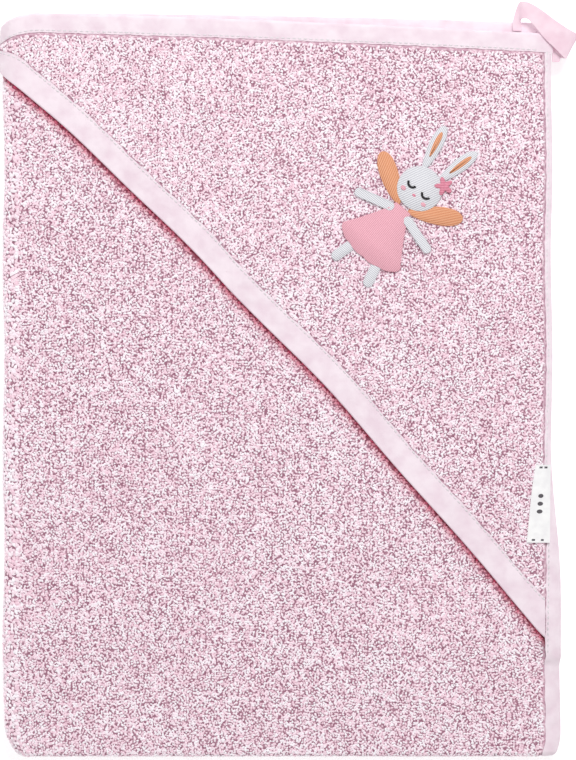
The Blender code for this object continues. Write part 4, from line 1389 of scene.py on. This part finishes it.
def ellipse(cx: float, cy: float, rx: float, ry: float, count: int = 40) -> list[tuple[float, float]]:
    """An oval outline."""
    angles = [2 * math.pi * i / count for i in range(count)]
    return [(cx + rx * math.cos(a), cy + ry * math.sin(a)) for a in angles]


def petal(x: float, y: float, length: float, width: float, degrees: float) -> list[tuple[float, float]]:
    """A leaf shape that grows from x, y, narrow at its root and round at its end."""
    points = []
    c, s = math.cos(math.radians(degrees)), math.sin(math.radians(degrees))
    for i in range(44):
        t = 2 * math.pi * i / 44
        grown = (1 - math.cos(t)) / 2
        side = width / 2 * math.sin(t) * (0.55 + 0.45 * grown)
        points.append((x + length * grown * c - side * s, y + length * grown * s + side * c))
    return points


def limb(x: float, y: float, length: float, width: float, degrees: float) -> list[tuple[float, float]]:
    """A rounded bar from x, y."""
    c, s = math.cos(math.radians(degrees)), math.sin(math.radians(degrees))
    points = []
    for end, start in ((length - width / 2, -90), (width / 2, 90)):
        for i in range(15):
            a = math.radians(start + 180 * i / 14)
            points.append((end + width / 2 * math.cos(a), width / 2 * math.sin(a)))
    return [(x + px * c - py * s, y + px * s + py * c) for px, py in points]


def smock(top: float, bottom: float, neck: float, hem: float, sag: float) -> list[tuple[float, float]]:
    """A bell with a straight neck and a scalloped, rounded hem."""
    side = [((neck + (hem - neck) * (i / 9) ** 1.25) / 2, top + (bottom - top) * i / 9) for i in range(10)]
    around = []
    for i in range(1, 40):
        a = math.pi * i / 40
        scallop = 0.0007 * abs(math.sin(6 * a))
        around.append((hem / 2 * math.cos(a), bottom - (sag + scallop) * math.sin(a)))
    return side + around + [(-x, y) for x, y in side[::-1]]


def closed_eye(cx: float, cy: float) -> list[tuple[float, float]]:
    """A downward arc."""
    outer, inner = [], []
    for i in range(13):
        a = math.radians(195 + 150 * i / 12)
        outer.append((cx + 0.0031 * math.cos(a), cy + 0.0031 * math.sin(a)))
        inner.append((cx + 0.0019 * math.cos(a), cy + 0.0019 * math.sin(a)))
    return outer + inner[::-1]


def flower(cx: float, cy: float, radius: float) -> list[tuple[float, float]]:
    """Five round petals."""
    points = []
    for i in range(60):
        a = 2 * math.pi * i / 60
        r = radius * (0.74 + 0.26 * math.cos(5 * a))
        points.append((cx + r * math.cos(a), cy + r * math.sin(a)))
    return points


class Rabbit:
    """A plain rabbit in a smock, embroidered on the hood and turned to the right."""

    centre = (0.0640, 0.0930)
    turn = math.radians(-40)
    layer_rise = 0.00045
    thickness = 0.0010

    def __init__(self, shop: Workshop) -> None:
        """Keeps the workshop."""
        self.shop = shop
        self.made: dict[tuple[Thread, float], bpy.types.Material] = {}

    @staticmethod
    def patches() -> list[Patch]:
        """Every shape, drawn upright about the rabbit's middle."""
        found = [Patch("smock", 1, Thread.ROSE, smock(0.0030, -0.0235, 0.0100, 0.0400, 0.0075), 90)]
        found.append(Patch("head", 1, Thread.WHITE, ellipse(0.0, 0.0165, 0.0124, 0.0120), 20))
        found.append(Patch("nose", 2, Thread.DEEP_ROSE, ellipse(0.0, 0.0118, 0.0012, 0.0009, 16)))
        found.append(Patch("flower", 2, Thread.DEEP_ROSE, flower(0.0092, 0.0258, 0.0052), 40))
        for side, sign in (("left", -1), ("right", 1)):
            lean, wing = 90 - 13 * sign, 90 - 58 * sign
            found += [
                Patch(f"wing_{side}", 0, Thread.PEACH, petal(0.003 * sign, 0.003, 0.030, 0.0125, wing), wing),
                Patch(f"foot_{side}", 0, Thread.WHITE, limb(0.007 * sign, -0.023, 0.020, 0.0058, -90 + 14 * sign)),
                Patch(f"ear_{side}", 0, Thread.WHITE, petal(0.005 * sign, 0.025, 0.027, 0.0092, lean), lean),
                Patch(f"ear_lining_{side}", 1, Thread.PEACH, petal(0.0069 * sign, 0.033, 0.015, 0.0036, lean), lean),
                Patch(f"arm_{side}", 2, Thread.WHITE, limb(0.004 * sign, -0.0002, 0.023, 0.005, -90 + 74 * sign)),
                Patch(f"eye_{side}", 3, Thread.BLACK, closed_eye(0.0048 * sign, 0.0166)),
                Patch(f"cheek_{side}", 2, Thread.ROSE, ellipse(0.007 * sign, 0.0112, 0.0016, 0.0012, 18)),
            ]
        return found

    def thread(self, patch: Patch) -> bpy.types.Material:
        """The patch's thread, running its way."""
        key = (patch.thread, patch.rows)
        if key not in self.made:
            base, dark = patch.thread.value
            turn = -(self.turn + math.radians(patch.rows + 90))
            name = f"rayon_thread_{patch.thread.name.lower()}_{int(patch.rows) % 360}"
            self.made[key] = SatinStitchFinish(name, base, dark, turn).build()
        return self.made[key]

    def build(self) -> None:
        """Builds every patch as a padded shape with a rounded rim."""
        pack, d = self.shop.pack, self.shop.pack.draft
        surface = pack.front_z + d.ply + d.hood_high
        c, s = math.cos(self.turn), math.sin(self.turn)
        for patch in self.patches():
            mesh = bmesh.new()
            x0, y0 = self.centre
            points = [(x0 + x * c - y * s, y0 + x * s + y * c) for x, y in patch.outline]
            low = surface + 0.0003 + patch.layer * self.layer_rise
            face = mesh.faces.new([mesh.verts.new((x, y, low)) for x, y in points])
            face.normal_update()
            if face.normal.z < 0:
                face.normal_flip()
            walls = bmesh.ops.extrude_face_region(mesh, geom=[face])
            raised = [item for item in walls["geom"] if isinstance(item, bmesh.types.BMVert)]
            bmesh.ops.translate(mesh, verts=raised, vec=(0, 0, self.thickness * 0.6))
            top = max(mesh.faces, key=lambda f: f.calc_center_median().z)
            rim = 0.00018 if patch.thread is Thread.BLACK else 0.00045
            bmesh.ops.inset_region(mesh, faces=[top], thickness=rim, depth=0.0, use_even_offset=True)
            top = max(mesh.faces, key=lambda f: (f.calc_center_median().z, f.calc_area()))
            bmesh.ops.translate(mesh, verts=top.verts, vec=(0, 0, self.thickness * 0.4))
            bmesh.ops.recalc_face_normals(mesh, faces=mesh.faces)
            obj = mesh_object(f"stitched_{patch.name}", np.zeros((0, 3)), [])
            mesh.to_mesh(obj.data)
            mesh.free()
            moved = np.array([v.co for v in obj.data.vertices])
            obj.data.vertices.foreach_set("co", pack.relax(moved).ravel())
            obj.data.shade_smooth()
            obj.data.materials.append(self.thread(patch))
            self.shop.finish(obj, "", Leaf.FRONT, f"embroidery_{patch.name}")


class Studio:
    """A white table under soft light, seen straight from above."""

    def build(self) -> None:
        """Builds the table, the lights and the camera."""
        bpy.ops.mesh.primitive_plane_add(size=6.0, location=(0, 0, -0.0015))
        table = bpy.context.object
        table.name = "white_table"
        material, tree, shader = new_material("matt_white_board", 0.9, 0.0)
        shader.inputs["Base Color"].default_value = linear("#FAFAFA")
        shader.inputs["Emission Color"].default_value = (1, 1, 1, 1)
        shader.inputs["Emission Strength"].default_value = 0.35
        table.data.materials.append(material)
        world = bpy.data.worlds.new("soft_room")
        world.use_nodes = True
        world.node_tree.nodes["Background"].inputs["Color"].default_value = (1.0, 1.0, 1.0, 1)
        world.node_tree.nodes["Background"].inputs["Strength"].default_value = 0.55
        bpy.context.scene.world = world
        bpy.context.scene.view_settings.view_transform = "Standard"
        for name, place, power, size in (
            ("window", (0.25, 0.95, 1.55), 17.0, 0.5),
            ("fill", (-1.2, -0.5, 1.6), 4.5, 1.6),
        ):
            data = bpy.data.lights.new(name, "AREA")
            data.energy, data.size = power, size
            lamp = bpy.data.objects.new(name, data)
            bpy.context.scene.collection.objects.link(lamp)
            lamp.location = place
            lamp.rotation_euler = (-Vector(place)).to_track_quat("-Z", "Y").to_euler()
        data = bpy.data.cameras.new("overhead")
        data.sensor_fit = "VERTICAL"
        data.sensor_height = 36.0
        distance = 2.0
        data.lens = 36.0 * distance / 0.4096
        camera = bpy.data.objects.new("overhead", data)
        camera.location = (0.0038, 0.0027, distance + 0.020)
        bpy.context.scene.collection.objects.link(camera)
        bpy.context.scene.camera = camera


def finishes() -> dict[str, bpy.types.Material]:
    """Every finish by the name that the pieces ask for."""
    return {
        # C3A9B4, the last colour, is painted shade multiplied onto the terry ground where loops stand.
        "terry": TerryFinish("cotton_terry_ground", "#CFA5B7", "#FDE6EE", "#C3A9B4").build(),
        "tape": TapeFinish("cotton_binding_tape", "#F6E7EF", "#EDD8E3").build(),
        "loop": TapeFinish("cotton_loop_tape", "#F8DFEA", "#F0CFDD").build(),
        "label": TapeFinish("woven_polyester_label", "#FCFBFB", "#F1EFF1", 0.7, 6.0).build(),
        "label_thread": SatinStitchFinish("label_thread", "#6F6A70", "#3A363B", 0.0, 0.7).build(),
    }


def main() -> None:
    """Builds the towel piece by piece and sets it in the studio."""
    logging.basicConfig(level=logging.INFO, format="%(message)s")
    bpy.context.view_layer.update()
    pile = PileFinish("cotton_terry_loops", "#F2CEDC", "#FDE6F0", "#FFFAFF").build()
    thread = SatinStitchFinish("white_sewing_thread", "#FBF8FA", "#DCD3D9", 0.0, 0.6).build()
    shop = Workshop(FoldedPack(Draft()), finishes(), PileMaker(pile), StitchMaker(thread))
    TowelCloth(shop).build()
    hood = Hood(shop)
    hood.build()
    EdgeTape(shop, hood).build()
    Stitching(shop).build()
    CareLabel(shop).build()
    HangingLoop(shop).build()
    Rabbit(shop).build()
    Studio().build()


if __name__ == "__main__":
    main()
